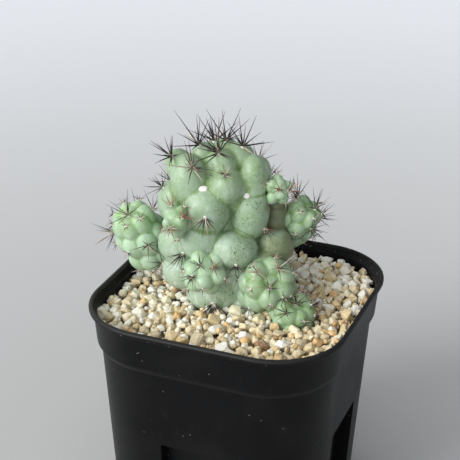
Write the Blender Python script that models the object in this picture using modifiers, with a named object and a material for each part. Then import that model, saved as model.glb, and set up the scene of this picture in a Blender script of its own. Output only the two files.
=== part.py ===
"""A clustering round cactus in a square plastic nursery pot.

The pot stands on z = 0 with its centre on the Z axis and its front face towards -Y.
Everything inside it is laid out in the same frame: potting soil, a layer of gravel,
the roots, the main stem, seven offsets that sprout from it, and a cluster of spines
on each of the larger areoles.
"""

from math import cos, pi, radians, sin
from random import Random

import bmesh
import bpy
from mathutils import Matrix, Vector, noise
from mathutils.bvhtree import BVHTree

MM = 0.001

# Pot: a moulded square tub with a beaded lip, a deeper band under it and a tapered wall.
POT_HEIGHT = 80.0
RIM_HALF = 45.0
BEAD_HEIGHT = 2.2
BAND_TOP_HALF = 43.6
BAND_FOOT_HALF = 42.7
BAND_DEPTH = 13.8
STEP_DROP = 2.0
WALL_TOP_HALF = 41.4
WALL_FOOT_HALF = 37.5
CORNER_RADIUS = 22.0
CORNER_STEPS = 6
SHARP_ANGLE = radians(30)
WALL_THICKNESS = 1.2
FLOOR_UNDERSIDE = 2.6
FLOOR_THICKNESS = 1.4
FOOT_WIDTH = 1.8

# A recess runs down the middle of each side of the pot to its foot.
RECESS_TOP = 38.0
RECESS_DEPTH = 4.6
RECESS_HALF_WIDTH = 13.5
RECESS_DRAFT = 1.4
RECESS_HEAD = 2.4

# Drainage slots in the floor, the gaps under the recesses that let the water out, and the
# moulded pad that props the middle of the floor.
SLOT_WIDTH = 3.0
SLOT_LENGTH = 13.0
SLOT_DISTANCE = 15.0
FOOT_GAP_HALF = 9.0
FOOT_GAP_HEIGHT = 2.0
PAD_RADIUS = 5.0

# Filling: soil up to the gravel, gravel up to a little under the lip.
GAP = 0.3
SOIL_TOP = 66.0
GRAVEL_TOP = 75.0
GRAVEL_LUMP = 0.8
GRAVEL_CELL = 6.0

# The plant is potted turned a little, and its own frame lies on the gravel's surface:
# across runs to its right, deep runs away from its face, and up is its height.
PLANT_TURN = radians(21.5)

# Tubercles of the main stem: (across, deep, up), (half width, half depth, half height), lean.
# Lean tilts the top of a tubercle to its right, in degrees.
MAIN_STEM = {
    "heart": ((-4.0, 14.5, 20.0), (16.0, 14.0, 24.0), 0),
    "crown": ((-7.0, 12.0, 42.0), (10.0, 8.6, 9.0), 0),
    "cheek": ((-11.6, 1.2, 33.8), (8.5, 7.8, 9.0), -4),
    "chin": ((-13.8, 1.8, 22.8), (8.6, 7.4, 8.6), 0),
    "brow": ((-17.0, 4.4, 41.8), (6.7, 6.8, 10.4), -10),
    "shoulder": ((-22.4, 7.6, 33.0), (6.0, 6.8, 8.4), -6),
    "flank": ((-20.0, 3.2, 20.2), (8.2, 7.0, 8.0), 0),
    "haunch": ((-19.8, 3.6, 9.6), (7.0, 6.4, 7.2), 0),
    "ridge": ((-5.2, 2.2, 41.4), (6.2, 6.4, 7.0), -4),
    "tip_front": ((-6.4, 6.2, 47.8), (5.3, 5.4, 5.6), 4),
    "throat": ((-1.6, 3.8, 37.6), (5.2, 4.6, 8.6), 0),
    "column": ((4.5, 6.0, 42.6), (5.3, 5.5, 8.7), -3),
    "collar": ((3.3, 3.4, 31.0), (6.7, 6.5, 9.8), 7),
    "nape": ((5.4, 14.0, 40.0), (5.4, 6.4, 8.0), 6),
    "waist": ((12.0, 12.0, 24.6), (5.0, 6.2, 12.0), 0),
    "hip": ((12.0, 4.4, 18.4), (6.6, 6.3, 6.7), 0),
    "knuckle": ((9.6, -1.0, 16.0), (4.4, 3.8, 3.0), 0),
    "temple": ((-20.8, 8.4, 46.4), (5.0, 5.4, 6.0), -16),
    "tip_right": ((-0.4, 10.0, 49.4), (5.2, 5.0, 4.8), 30),
    "tip_left": ((-12.6, 10.2, 48.8), (4.2, 4.6, 5.4), -14),
    "tip_back": ((-5.4, 14.2, 49.4), (5.2, 5.2, 4.6), 0),
    "belly": ((-1.9, -1.3, 19.6), (8.3, 6.8, 6.5), 6),
    "lap": ((-8.8, -0.4, 3.8), (9.6, 8.2, 8.2), 0),
    "apron": ((-1.8, 0.6, 9.6), (6.6, 6.6, 6.8), 0),
    "heel": ((2.4, 0.6, -0.2), (8.4, 7.3, 5.4), 0),
    "back_crown": ((-9.0, 20.0, 42.0), (8.0, 7.2, 8.6), 0),
    "back_left": ((-17.0, 19.6, 31.0), (8.2, 8.2, 9.0), -8),
    "rump_left": ((-15.0, 23.0, 11.0), (9.0, 8.6, 9.2), 0),
    "saddle": ((-15.0, 13.0, 7.0), (8.0, 9.0, 9.0), 0),
    "back_middle": ((-7.0, 25.6, 28.6), (8.8, 8.0, 9.4), 0),
    "rump_middle": ((-3.0, 28.0, 11.0), (9.4, 8.0, 9.0), 0),
    "back_right": ((3.6, 22.6, 30.0), (8.0, 8.0, 9.2), 6),
    "rump_right": ((7.4, 21.0, 10.6), (8.4, 8.4, 9.4), 0),
}

# Offsets: centre, half width and half height, the way the growing tip points, ribs, twist in
# degrees, how bold the tubercles are (0 to 1), and the levels of their rings along the stem.
OFFSETS = {
    "left": ((-33.8, 11.5, 18.4), 9.2, 14.0, (-0.40, -0.25, 0.88), 7, 10, 0.3, (-0.56, 0.06, 0.62)),
    "left_bud": ((-21.2, -3.8, 31.0), 5.2, 6.8, (-0.25, -0.55, 0.80), 4, 20, 0.6, (-0.3, 0.4)),
    "front_left": ((-11.8, -5.8, 13.6), 7.6, 7.4, (0.10, -0.72, 0.68), 5, 0, 1.0, (-0.4, 0.3)),
    "front_right": ((9.3, -5.8, 8.4), 10.0, 9.8, (0.20, -0.75, 0.62), 6, 15, 0.9, (-0.5, 0.05, 0.56)),
    "ground": ((18.3, -13.4, 1.6), 8.0, 5.4, (0.20, -0.25, 0.95), 8, 5, 0.6, (-0.3, 0.45)),
    "right_bud": ((12.4, 5.4, 39.0), 4.8, 6.0, (0.30, -0.45, 0.84), 4, 30, 0.9, (-0.35, 0.35)),
    "right": ((20.2, 12.4, 24.0), 6.9, 10.4, (0.42, -0.34, 0.84), 6, 0, 1.0, (-0.55, 0.05, 0.6)),
}

# Areoles that carry a cluster of spines: name, the stem it grows on, its place in the
# plant's frame (across, deep, up) and the length of its spines.
AREOLES = (
    ("crown_front", "main_stem", (-7.5, 4, 52.5), 11.5),
    ("crown_left", "main_stem", (-14.5, 8.5, 54), 11.0),
    ("crown_right", "main_stem", (0.5, 8, 53.5), 9.0),
    ("crown_middle", "main_stem", (-5, 12.5, 54), 10.5),
    ("crown_back", "main_stem", (-9, 20, 51), 9.5),
    ("brow", "main_stem", (-16.5, 1, 48), 9.0),
    ("temple_top", "main_stem", (-22.5, 6, 49.5), 8.5),
    ("temple", "main_stem", (-25, 6.5, 38.5), 6.5),
    ("ridge", "main_stem", (-5, -1, 46), 4.5),
    ("cheek", "main_stem", (-11.5, -6, 34), 7.5),
    ("hip", "main_stem", (9, -0.5, 26.5), 5.5),
    ("flank", "main_stem", (-19, -2.5, 19.5), 8.5),
    ("belly", "main_stem", (-1.5, -6.5, 17), 4.5),
    ("lap", "main_stem", (-9, -6.5, 3), 7.0),
    ("haunch", "main_stem", (-25.5, 4.5, 11), 6.0),
    ("nape", "main_stem", (6, 24, 45), 8.0),
    ("back_crown", "main_stem", (-11, 27, 45), 8.0),
    ("back_left", "main_stem", (-24, 23, 34), 7.5),
    ("back_middle", "main_stem", (-7, 34, 32), 7.5),
    ("back_right", "main_stem", (10, 28, 33), 7.5),
    ("rump_left", "main_stem", (-21, 28, 15), 6.5),
    ("rump_middle", "main_stem", (-3, 36, 14), 6.5),
    ("rump_right", "main_stem", (14, 27, 14), 6.5),
    ("left_1", "offset_left", (-38, 7, 27), 6.0),
    ("left_2", "offset_left", (-40.5, 9, 21.5), 6.0),
    ("left_3", "offset_left", (-32, 3.5, 19), 5.0),
    ("left_4", "offset_left", (-31, 9.5, 28.5), 6.5),
    ("left_5", "offset_left", (-36, 18.5, 23), 6.0),
    ("left_bud_1", "offset_left_bud", (-23, -2, 36), 4.5),
    ("left_bud_2", "offset_left_bud", (-19.5, -7.5, 33.5), 4.0),
    ("left_bud_3", "offset_left_bud", (-23, -7.5, 31), 4.0),
    ("front_left_1", "offset_front_left", (-16, -12, 14), 5.5),
    ("front_left_2", "offset_front_left", (-13.5, -11, 19), 5.5),
    ("front_left_3", "offset_front_left", (-8, -11, 18), 5.5),
    ("front_right_1", "offset_front_right", (6, -11.5, 16), 5.5),
    ("front_right_2", "offset_front_right", (13, -9.5, 16.5), 6.5),
    ("front_right_3", "offset_front_right", (10, -14, 12), 6.0),
    ("front_right_4", "offset_front_right", (14.5, -14.5, 8.5), 5.5),
    ("ground_1", "offset_ground", (16, -19, 4.5), 5.0),
    ("ground_2", "offset_ground", (19.5, -15, 7.5), 5.5),
    ("ground_3", "offset_ground", (24.5, -14.5, 6), 5.0),
    ("right_bud_1", "offset_right_bud", (13, 1.5, 41), 5.0),
    ("right_bud_2", "offset_right_bud", (15.5, 2.5, 40), 5.0),
    ("right_1", "offset_right", (19.5, 13.5, 33), 6.0),
    ("right_2", "offset_right", (25.5, 9, 31.5), 6.0),
    ("right_3", "offset_right", (24.5, 6.5, 23.5), 5.5),
    ("right_4", "offset_right", (27.5, 15.5, 24.5), 5.5),
)
PLANT_AXIS = (-4.0, 14.0)

# Fineness of the stems: the smallest detail kept, and the share of faces kept after that.
FLESH_CELL = 0.8
MAIN_FACES_KEPT = 0.07
OFFSET_FACES_KEPT = 0.12
HOLLOW_FACES_KEPT = 0.055
SMOOTHING_PASSES = 6

# Spine clusters: a woolly areole with spines standing on it.
AREOLE_RADIUS = 0.65
SPINES_PER_CLUSTER = 9
SPINE_CLEARANCE = 0.55
CLEARANCE_STEPS = 10
SHORTEST_SPINE = 2.0

# Areoles whose spines hang down over the skin instead of standing out.
HANGING = ("cheek", "flank", "lap", "belly")
HANGING_DROOP = 0.8
HANGING_LIFT = 0.34

# Roots: bearing in degrees, how far out they reach and how deep they go.
ROOT_COLLAR_RADIUS = 5.0
ROOT_COLLAR_DEPTH = 16.0
ROOT_RADIUS = 1.6
ROOTS = (
    (15, 20.0, 34.0),
    (85, 17.0, 48.0),
    (160, 22.0, 30.0),
    (230, 18.0, 44.0),
    (300, 21.0, 38.0),
)


def plant_point(across, deep, up):
    """A point of the plant's frame, in metres in the object's frame."""
    turned = Matrix.Rotation(PLANT_TURN, 3, "Z") @ Vector((across, deep, up))
    return (turned + Vector((0, 0, GRAVEL_TOP))) * MM


def plant_direction(across, deep, up):
    """A direction of the plant's frame, as a unit vector in the object's frame."""
    return (Matrix.Rotation(PLANT_TURN, 3, "Z") @ Vector((across, deep, up))).normalized()


# ---- scene, collections, materials ----


def clear_scene():
    for obj in list(bpy.data.objects):
        bpy.data.objects.remove(obj, do_unlink=True)


def new_collection(name, parent=None):
    collection = bpy.data.collections.new(name)
    (parent or bpy.context.scene.collection).children.link(collection)
    return collection


def new_material(name, colour, roughness, metallic=0.0):
    material = bpy.data.materials.new(name)
    material.use_nodes = True
    shader = material.node_tree.nodes["Principled BSDF"]
    shader.inputs["Base Color"].default_value = (*colour, 1.0)
    shader.inputs["Roughness"].default_value = roughness
    shader.inputs["Metallic"].default_value = metallic
    material.diffuse_color = (*colour, 1.0)
    return material


def add_object(name, mesh, collection, material=None):
    obj = bpy.data.objects.new(name, mesh)
    collection.objects.link(obj)
    if material:
        obj.data.materials.append(material)
    return obj


def object_from_bmesh(name, bm, collection, material=None):
    bmesh.ops.recalc_face_normals(bm, faces=bm.faces)
    mesh = bpy.data.meshes.new(name)
    bm.to_mesh(mesh)
    bm.free()
    return add_object(name, mesh, collection, material)


def hide_helper(obj):
    obj.hide_render = True
    obj.display_type = "WIRE"
    return obj


def add_boolean(obj, operation, operand):
    """A Boolean modifier with another object, or with all of a collection."""
    modifier = obj.modifiers.new(operation.title(), "BOOLEAN")
    modifier.operation = operation
    modifier.solver = "EXACT"
    if isinstance(operand, bpy.types.Collection):
        modifier.operand_type = "COLLECTION"
        modifier.collection = operand
    else:
        modifier.object = operand
    return modifier


def freeze(obj):
    """Replaces the object's mesh by its evaluated one, with no modifiers left."""
    bpy.context.view_layer.update()
    graph = bpy.context.evaluated_depsgraph_get()
    mesh = bpy.data.meshes.new_from_object(obj.evaluated_get(graph))
    obj.modifiers.clear()
    obj.data = mesh
    return obj


# ---- pot, soil and gravel: lofts through rounded-square sections ----


def section(half, radius, z, notch=0.0, inset=0.0):
    """A rounded square of half width `half`, drawn `inset` inside itself, with a notch of depth
    `notch` in the middle of each side. Every section has the same number of points."""
    side, corner = half - inset, max(radius - inset, 1.0)
    outer, inner = RECESS_HALF_WIDTH + inset, RECESS_HALF_WIDTH + inset - RECESS_DRAFT
    points = []
    for quarter in range(4):
        turn = Matrix.Rotation(quarter * pi / 2, 2)
        edge = [(-outer, 0), (-inner, notch), (inner, notch), (outer, 0)]
        for along, depth in edge:
            points.append(turn @ Vector((along, -(side - depth))))
        for step in range(CORNER_STEPS + 1):
            angle = -pi / 2 + step / CORNER_STEPS * pi / 2
            centre = Vector((side - corner, -(side - corner)))
            points.append(turn @ (centre + corner * Vector((cos(angle), sin(angle)))))
    return [Vector((p.x, p.y, z)) * MM for p in points]


def loft(name, sections, collection, material=None):
    """A closed solid through the sections in turn, with a cap on the first and the last.
    Walls are split along the same diagonal going up and going down, so that a twisted
    stretch keeps its thickness."""
    bm = bmesh.new()
    rings = [[bm.verts.new(point) for point in points] for points in sections]
    for first, second in zip(rings, rings[1:]):
        rising = second[0].co.z >= first[0].co.z
        count = len(first)
        for i in range(count):
            j = (i + 1) % count
            if rising:
                bm.faces.new((first[i], first[j], second[j]))
                bm.faces.new((first[i], second[j], second[i]))
            else:
                bm.faces.new((first[i], first[j], second[i]))
                bm.faces.new((first[j], second[j], second[i]))
    bm.faces.new(list(reversed(rings[0])))
    bm.faces.new(rings[-1])
    bmesh.ops.triangulate(bm, faces=[f for f in bm.faces if len(f.verts) > 4])
    return object_from_bmesh(name, bm, collection, material)


def wall_half(z):
    """Half width of the pot's outside below the band, at height z."""
    top = POT_HEIGHT - BAND_DEPTH - STEP_DROP
    return WALL_FOOT_HALF + (WALL_TOP_HALF - WALL_FOOT_HALF) * z / top


def notch_at(z):
    return RECESS_DEPTH if z <= RECESS_TOP - RECESS_HEAD else 0.0


def wall_sections(inset, heights):
    """Sections of the wall below the band, drawn `inset` inside the pot's outside."""
    return [section(wall_half(z), CORNER_RADIUS, z, notch_at(z), inset) for z in heights]


def pot_wall_heights(bottom):
    return [bottom, RECESS_TOP - RECESS_HEAD, RECESS_TOP, POT_HEIGHT - BAND_DEPTH - STEP_DROP]


def make_pot(collection, cutters, material):
    band_foot = POT_HEIGHT - BAND_DEPTH
    bead_foot = POT_HEIGHT - BEAD_HEIGHT
    floor = FLOOR_UNDERSIDE + FLOOR_THICKNESS
    foot = [
        section(WALL_FOOT_HALF, CORNER_RADIUS, FLOOR_UNDERSIDE, RECESS_DEPTH, FOOT_WIDTH),
        section(WALL_FOOT_HALF, CORNER_RADIUS, 0, RECESS_DEPTH, FOOT_WIDTH),
        section(WALL_FOOT_HALF, CORNER_RADIUS, 0, RECESS_DEPTH, 0.5),
    ]
    outside = wall_sections(0, pot_wall_heights(0.6)) + [
        section(BAND_FOOT_HALF, CORNER_RADIUS, band_foot),
        section(BAND_TOP_HALF, CORNER_RADIUS, bead_foot - 0.3),
        section(RIM_HALF - 0.4, CORNER_RADIUS, bead_foot),
        section(RIM_HALF, CORNER_RADIUS, bead_foot + 0.6),
        section(RIM_HALF, CORNER_RADIUS, POT_HEIGHT - 0.6),
        section(RIM_HALF - 0.7, CORNER_RADIUS, POT_HEIGHT),
    ]
    inside = [
        section(BAND_TOP_HALF, CORNER_RADIUS, POT_HEIGHT, 0, WALL_THICKNESS - 0.3),
        section(BAND_TOP_HALF, CORNER_RADIUS, POT_HEIGHT - 0.7, 0, WALL_THICKNESS),
        section(BAND_FOOT_HALF, CORNER_RADIUS, band_foot, 0, WALL_THICKNESS),
    ] + wall_sections(WALL_THICKNESS, reversed(pot_wall_heights(floor)))
    pot = loft("pot", foot + outside + inside, collection, material)
    holes = new_collection("pot_cutters", cutters)
    for across, lengthwise in ((0, 1), (1, 0)):
        for side in (-1, 1):
            add_slot(holes, side * SLOT_DISTANCE * Vector((across, lengthwise)), across)
    reach = 2 * WALL_FOOT_HALF + 10
    for size in ((2 * FOOT_GAP_HALF, reach), (reach, 2 * FOOT_GAP_HALF)):
        gap = add_box(holes, "foot_gap", (*size, 2 * FOOT_GAP_HEIGHT))
        hide_helper(gap)
    add_boolean(pot, "DIFFERENCE", holes)
    add_boolean(pot, "UNION", add_pad(cutters))
    freeze(pot).data.shade_smooth()
    pot.data.set_sharp_from_angle(angle=SHARP_ANGLE)
    return pot


def add_pad(collection):
    """The round pad under the middle of the floor, flush with the foot."""
    height = FLOOR_UNDERSIDE + FLOOR_THICKNESS / 2
    bm = bmesh.new()
    bmesh.ops.create_cone(
        bm,
        cap_ends=True,
        segments=24,
        radius1=PAD_RADIUS * MM,
        radius2=PAD_RADIUS * MM,
        depth=height * MM,
        matrix=Matrix.Translation((0, 0, height / 2 * MM)),
    )
    return hide_helper(object_from_bmesh("floor_pad", bm, collection))


def add_box(collection, name, size):
    bm = bmesh.new()
    bmesh.ops.create_cube(bm, size=1.0, matrix=Matrix.Diagonal((*(Vector(size) * MM), 1)))
    return object_from_bmesh(name, bm, collection)


def add_slot(collection, centre, turned):
    """A round-ended drainage slot through the floor."""
    bm = bmesh.new()
    depth = 4 * (FLOOR_UNDERSIDE + FLOOR_THICKNESS)
    outline = []
    for end in (1, -1):
        for step in range(5):
            angle = (0 if end > 0 else pi) + step / 4 * pi
            bow = SLOT_WIDTH / 2 * Vector((cos(angle), sin(angle)))
            outline.append(bow + Vector((0, end * (SLOT_LENGTH - SLOT_WIDTH) / 2)))
    turn = Matrix.Rotation(turned * pi / 2, 2)
    flat = [turn @ p + centre for p in outline]
    base = bm.faces.new([bm.verts.new(Vector((p.x, p.y, -depth / 2)) * MM) for p in flat])
    raised = bmesh.ops.extrude_face_region(bm, geom=[base])["geom"]
    lifted = [v for v in raised if isinstance(v, bmesh.types.BMVert)]
    bmesh.ops.translate(bm, verts=lifted, vec=Vector((0, 0, depth * MM)))
    return hide_helper(object_from_bmesh("drain_slot", bm, collection))


def make_soil(collection, material):
    bottom = FLOOR_UNDERSIDE + FLOOR_THICKNESS + GAP
    inset = WALL_THICKNESS + GAP
    sections = wall_sections(inset, pot_wall_heights(bottom))
    sections.append(section(BAND_FOOT_HALF, CORNER_RADIUS, SOIL_TOP, 0, inset + 0.5))
    return loft("potting_soil", sections, collection, material)


def make_gravel(collection, cutters, material):
    """A bed with a bumpy top: a grid moved by noise, trimmed to the inside of the pot."""
    cells = round(2 * RIM_HALF / GRAVEL_CELL)
    bm = bmesh.new()
    bmesh.ops.create_grid(bm, x_segments=cells, y_segments=cells, size=RIM_HALF * MM)
    for vert in bm.verts:
        bump = noise.noise(vert.co * 180 + Vector((3.1, 0, 0))) * GRAVEL_LUMP
        vert.co.z = (GRAVEL_TOP + bump) * MM
    raised = bmesh.ops.extrude_face_region(bm, geom=list(bm.faces))["geom"]
    for vert in (v for v in raised if isinstance(v, bmesh.types.BMVert)):
        vert.co.z = (SOIL_TOP + GAP) * MM
    bm.normal_update()
    gravel = object_from_bmesh("gravel_layer", bm, collection, material)
    inset = WALL_THICKNESS + GAP
    trim = loft(
        "gravel_trim",
        [
            section(BAND_FOOT_HALF, CORNER_RADIUS, SOIL_TOP - 2, 0, inset + 0.3),
            section(BAND_FOOT_HALF, CORNER_RADIUS, POT_HEIGHT - BAND_DEPTH, 0, inset + 0.3),
            section(BAND_TOP_HALF, CORNER_RADIUS, POT_HEIGHT, 0, inset + 0.3),
        ],
        cutters,
    )
    add_boolean(gravel, "INTERSECT", hide_helper(trim))
    return gravel


# ---- stems: swollen tubercles grown into one another ----


def add_tubercle(bm, centre, radii, turn):
    size = Matrix.Diagonal((*[r * MM for r in radii], 1))
    place = Matrix.Translation(centre) @ turn.to_4x4() @ size
    bmesh.ops.create_icosphere(bm, subdivisions=3, radius=1.0, matrix=place)


def grow_together(name, tubercles, faces_kept, collection, material):
    """One closed skin over all the tubercles, with soft creases where they meet."""
    bm = bmesh.new()
    for centre, radii, turn in tubercles:
        add_tubercle(bm, centre, radii, turn)
    stem = object_from_bmesh(name, bm, collection, material)
    skin = stem.modifiers.new("Skin", "REMESH")
    skin.mode = "VOXEL"
    skin.voxel_size = FLESH_CELL * MM
    soften = stem.modifiers.new("Soften", "SMOOTH")
    soften.iterations = SMOOTHING_PASSES
    thin_out = stem.modifiers.new("Thin out", "DECIMATE")
    thin_out.ratio = faces_kept
    freeze(stem).data.shade_smooth()
    return stem


def grown_copy(obj, name, collection):
    """The same solid a gap's width larger all round, to cut its neighbours with."""
    cutter = add_object(name, obj.data.copy(), collection)
    swell = cutter.modifiers.new("Swell", "DISPLACE")
    swell.strength = 1.3 * GAP * MM
    swell.mid_level = 0.0
    return hide_helper(freeze(cutter))


def make_hollow(plant, collection):
    """One clean solid round the whole plant, for the hollow that it leaves in its filling."""
    bm = bmesh.new()
    for obj in plant:
        bm.from_mesh(obj.data)
    hollow = object_from_bmesh("plant_hollow", bm, collection)
    swell = hollow.modifiers.new("Swell", "DISPLACE")
    swell.strength = 2.5 * GAP * MM
    swell.mid_level = 0.0
    skin = hollow.modifiers.new("Skin", "REMESH")
    skin.mode = "VOXEL"
    skin.voxel_size = FLESH_CELL * MM
    thin_out = hollow.modifiers.new("Thin out", "DECIMATE")
    thin_out.ratio = HOLLOW_FACES_KEPT
    return hide_helper(freeze(hollow))


def main_tubercles():
    for place, radii, lean in MAIN_STEM.values():
        turn = Matrix.Rotation(PLANT_TURN, 3, "Z") @ Matrix.Rotation(radians(lean), 3, "Y")
        yield plant_point(*place), radii, turn


def offset_axes(tip, twist):
    """The offset's own frame: its Z axis is its growing tip's direction."""
    return tip.to_track_quat("Z", "Y").to_matrix() @ Matrix.Rotation(radians(twist), 3, "Z")


def offset_tubercles(key):
    """(centre, radii, axes) of each tubercle: the body, and rings of swellings round it."""
    place, half_width, half_height, tip, ribs, twist, bold, levels = OFFSETS[key]
    centre = plant_point(*place)
    axes = offset_axes(plant_direction(*tip), twist)
    girth = half_width * (0.90 - 0.18 * bold)
    yield centre, (girth, girth, half_height * (0.92 - 0.12 * bold)), axes
    for ring, level in enumerate(levels):
        reach = 0.60 * (1 - 0.85 * level**2) ** 0.5
        swell = (0.42 + 0.05 * bold) * (1 - 0.22 * max(level, 0))
        for rib in range(ribs):
            angle = 2 * pi * (rib + 0.5 * ring) / ribs
            out = reach * half_width
            local = Vector((out * cos(angle), out * sin(angle), level * half_height * 0.86))
            size = swell * half_width
            tall = size * min(max(half_height / half_width, 1), 1.3)
            spin = axes @ Matrix.Rotation(angle, 3, "Z")
            yield centre + axes @ local * MM, (size, size * 0.97, tall), spin


def surface_of(*objects):
    """One search tree over the surfaces of the objects."""
    bm = bmesh.new()
    for obj in objects:
        bm.from_mesh(obj.data)
    tree = BVHTree.FromBMesh(bm)
    bm.free()
    return tree


# ---- spine clusters ----


def areole_on(tree, place, stem_centre):
    """The point of a stem nearest to a place, and the way the spines there stand."""
    root, normal, _, _ = tree.find_nearest(plant_point(*place))
    outwards = (root - stem_centre).normalized()
    return root, (normal + 0.5 * outwards).normalized()


def fits(tree, start, end, spines):
    """Whether a spine keeps clear of the stems and of the spines already made."""
    ray = end - start
    for step in range(CLEARANCE_STEPS):
        point = start + ray * (step + 1) / CLEARANCE_STEPS
        _, _, _, distance = tree.find_nearest(point)
        if distance is not None and distance < SPINE_CLEARANCE * MM:
            return False
    for other_start, other_end in spines:
        if segment_distance(start, end, other_start, other_end) < SPINE_CLEARANCE * MM:
            return False
    return True


def segment_distance(a, b, c, d):
    """About the shortest distance between two short straight pieces."""
    steps = 8
    points = [a.lerp(b, i / steps) for i in range(steps + 1)]
    along = d - c
    length = along.length_squared
    nearest = 1.0
    for point in points:
        share = min(max((point - c).dot(along) / length, 0.0), 1.0)
        nearest = min(nearest, (point - c - along * share).length)
    return nearest


def grown_spine(start, way, length, tree, made):
    """The end of a spine cut short enough to keep clear, or None if it would be a stub."""
    reach = length
    while reach >= SHORTEST_SPINE:
        end = start + way * reach * MM
        if fits(tree, start + way * 0.6 * MM, end, made):
            return end
        reach -= 0.8
    return None


def make_spine_cluster(name, root, normal, length, tree, made, collection, material):
    """A small woolly dome whose outer faces are drawn out into spines."""
    chance = Random(name)
    centre = root + normal * (AREOLE_RADIUS + GAP + 0.15) * MM
    for _ in range(20):
        _, _, _, distance = tree.find_nearest(centre)
        if distance >= (AREOLE_RADIUS + GAP) * MM:
            break
        centre = centre + normal * 0.2 * MM
    bm = bmesh.new()
    stand = Matrix.Translation(centre) @ normal.to_track_quat("Z", "Y").to_matrix().to_4x4()
    bmesh.ops.create_icosphere(bm, subdivisions=1, radius=AREOLE_RADIUS * MM, matrix=stand)
    bm.normal_update()
    chosen = sorted(bm.faces, key=lambda f: -f.normal.dot(normal))[:SPINES_PER_CLUSTER]
    own = []
    hangs = name.removeprefix("spines_") in HANGING
    for face in chosen:
        start = face.calc_center_median()
        way = ((start - centre).normalized() + 0.25 * normal).normalized()
        if hangs:
            way = (way - Vector((0, 0, HANGING_DROOP))).normalized()
            way = (way + normal * max(HANGING_LIFT - way.dot(normal), 0)).normalized()
        end = grown_spine(start, way, length * chance.uniform(0.75, 1.0), tree, made)
        if end is None:
            continue
        own.append((start, end))
        tip = bmesh.ops.poke(bm, faces=[face])["verts"][0]
        tip.co = end
    made.extend(own)
    bmesh.ops.triangulate(bm, faces=bm.faces)
    object_from_bmesh(name, bm, collection, material)


# ---- roots ----


def add_root(collection, bearing, reach, depth):
    """A tapering root that leaves the collar sideways and turns down."""
    curve = bpy.data.curves.new("root", "CURVE")
    curve.dimensions = "3D"
    curve.bevel_depth = ROOT_RADIUS * MM
    curve.bevel_resolution = 1
    curve.use_fill_caps = True
    line = curve.splines.new("POLY")
    count = 9
    line.points.add(count - 1)
    angle = radians(bearing)
    for i, point in enumerate(line.points):
        t = i / (count - 1)
        out = reach * sin(t * pi / 2) ** 0.9
        wave = 1.6 * sin(t * 7 + angle)
        x = out * cos(angle) - wave * t * sin(angle)
        y = out * sin(angle) + wave * t * cos(angle)
        z = -4.0 - depth * t**1.25
        point.co = (*plant_point(PLANT_AXIS[0] + x, PLANT_AXIS[1] - 6 + y, z), 1)
        point.radius = 1.0 - 0.72 * t
    holder = bpy.data.objects.new("root_line", curve)
    collection.objects.link(holder)
    bpy.context.view_layer.update()
    graph = bpy.context.evaluated_depsgraph_get()
    mesh = bpy.data.meshes.new_from_object(holder.evaluated_get(graph))
    bpy.data.objects.remove(holder)
    bm = bmesh.new()
    bm.from_mesh(mesh)
    bmesh.ops.remove_doubles(bm, verts=bm.verts, dist=1e-5)
    return hide_helper(object_from_bmesh("root", bm, collection))


def make_roots(collection, helpers, material):
    """The root collar under the stem, and the roots that leave it."""
    parts = new_collection("root_parts", helpers)
    bm = bmesh.new()
    place = plant_point(PLANT_AXIS[0], PLANT_AXIS[1] - 6, -ROOT_COLLAR_DEPTH / 2 - 1)
    bmesh.ops.create_cone(
        bm,
        cap_ends=True,
        segments=12,
        radius1=ROOT_COLLAR_RADIUS * 0.45 * MM,
        radius2=ROOT_COLLAR_RADIUS * 1.2 * MM,
        depth=ROOT_COLLAR_DEPTH * MM,
        matrix=Matrix.Translation(place),
    )
    roots = object_from_bmesh("roots", bm, collection, material)
    for bearing, reach, depth in ROOTS:
        add_root(parts, bearing, reach, depth)
    add_boolean(roots, "UNION", parts)
    return freeze(roots)


# ---- the whole object ----


def main():
    clear_scene()
    whole = new_collection("potted_round_cactus")
    helpers = new_collection("helpers")
    helpers.hide_render = True

    plastic = new_material("black_plastic", (0.012, 0.012, 0.013), 0.42)
    earth = new_material("potting_soil", (0.045, 0.030, 0.020), 0.95)
    grit = new_material("gravel", (0.62, 0.54, 0.42), 0.75)
    skin = new_material("stem_skin", (0.30, 0.48, 0.33), 0.62)
    young_skin = new_material("offset_skin", (0.26, 0.50, 0.24), 0.55)
    spine = new_material("spine", (0.06, 0.035, 0.035), 0.5)
    root_bark = new_material("root_bark", (0.42, 0.30, 0.18), 0.85)

    make_pot(whole, helpers, plastic)
    soil = make_soil(whole, earth)
    gravel = make_gravel(whole, helpers, grit)

    main_stem = grow_together("main_stem", main_tubercles(), MAIN_FACES_KEPT, whole, skin)
    stems = [main_stem]
    cutters = [grown_copy(main_stem, "main_stem_cutter", helpers)]
    for key in OFFSETS:
        offset = grow_together(
            f"offset_{key}", offset_tubercles(key), OFFSET_FACES_KEPT, whole, young_skin
        )
        whole_offset = grown_copy(offset, f"{key}_cutter", helpers)
        for cutter in cutters:
            if boxes_meet(offset, cutter):
                add_boolean(offset, "DIFFERENCE", cutter)
        keep_largest(freeze(offset))
        stems.append(offset)
        cutters.append(whole_offset)

    roots = make_roots(whole, helpers, root_bark)
    add_boolean(roots, "DIFFERENCE", cutters[0])
    keep_largest(freeze(roots))
    hollow = make_hollow(stems + [roots], helpers)
    for filling in (gravel, soil):
        add_boolean(filling, "DIFFERENCE", hollow)
        freeze(filling)

    all_surfaces = surface_of(*stems, gravel)
    surfaces = {stem.name: surface_of(stem) for stem in stems}
    centres = {stem.name: stem_centre(stem.name) for stem in stems}
    made = []
    for key, stem, place, length in AREOLES:
        root, way = areole_on(surfaces[stem], place, centres[stem])
        make_spine_cluster(f"spines_{key}", root, way, length, all_surfaces, made, whole, spine)


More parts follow.
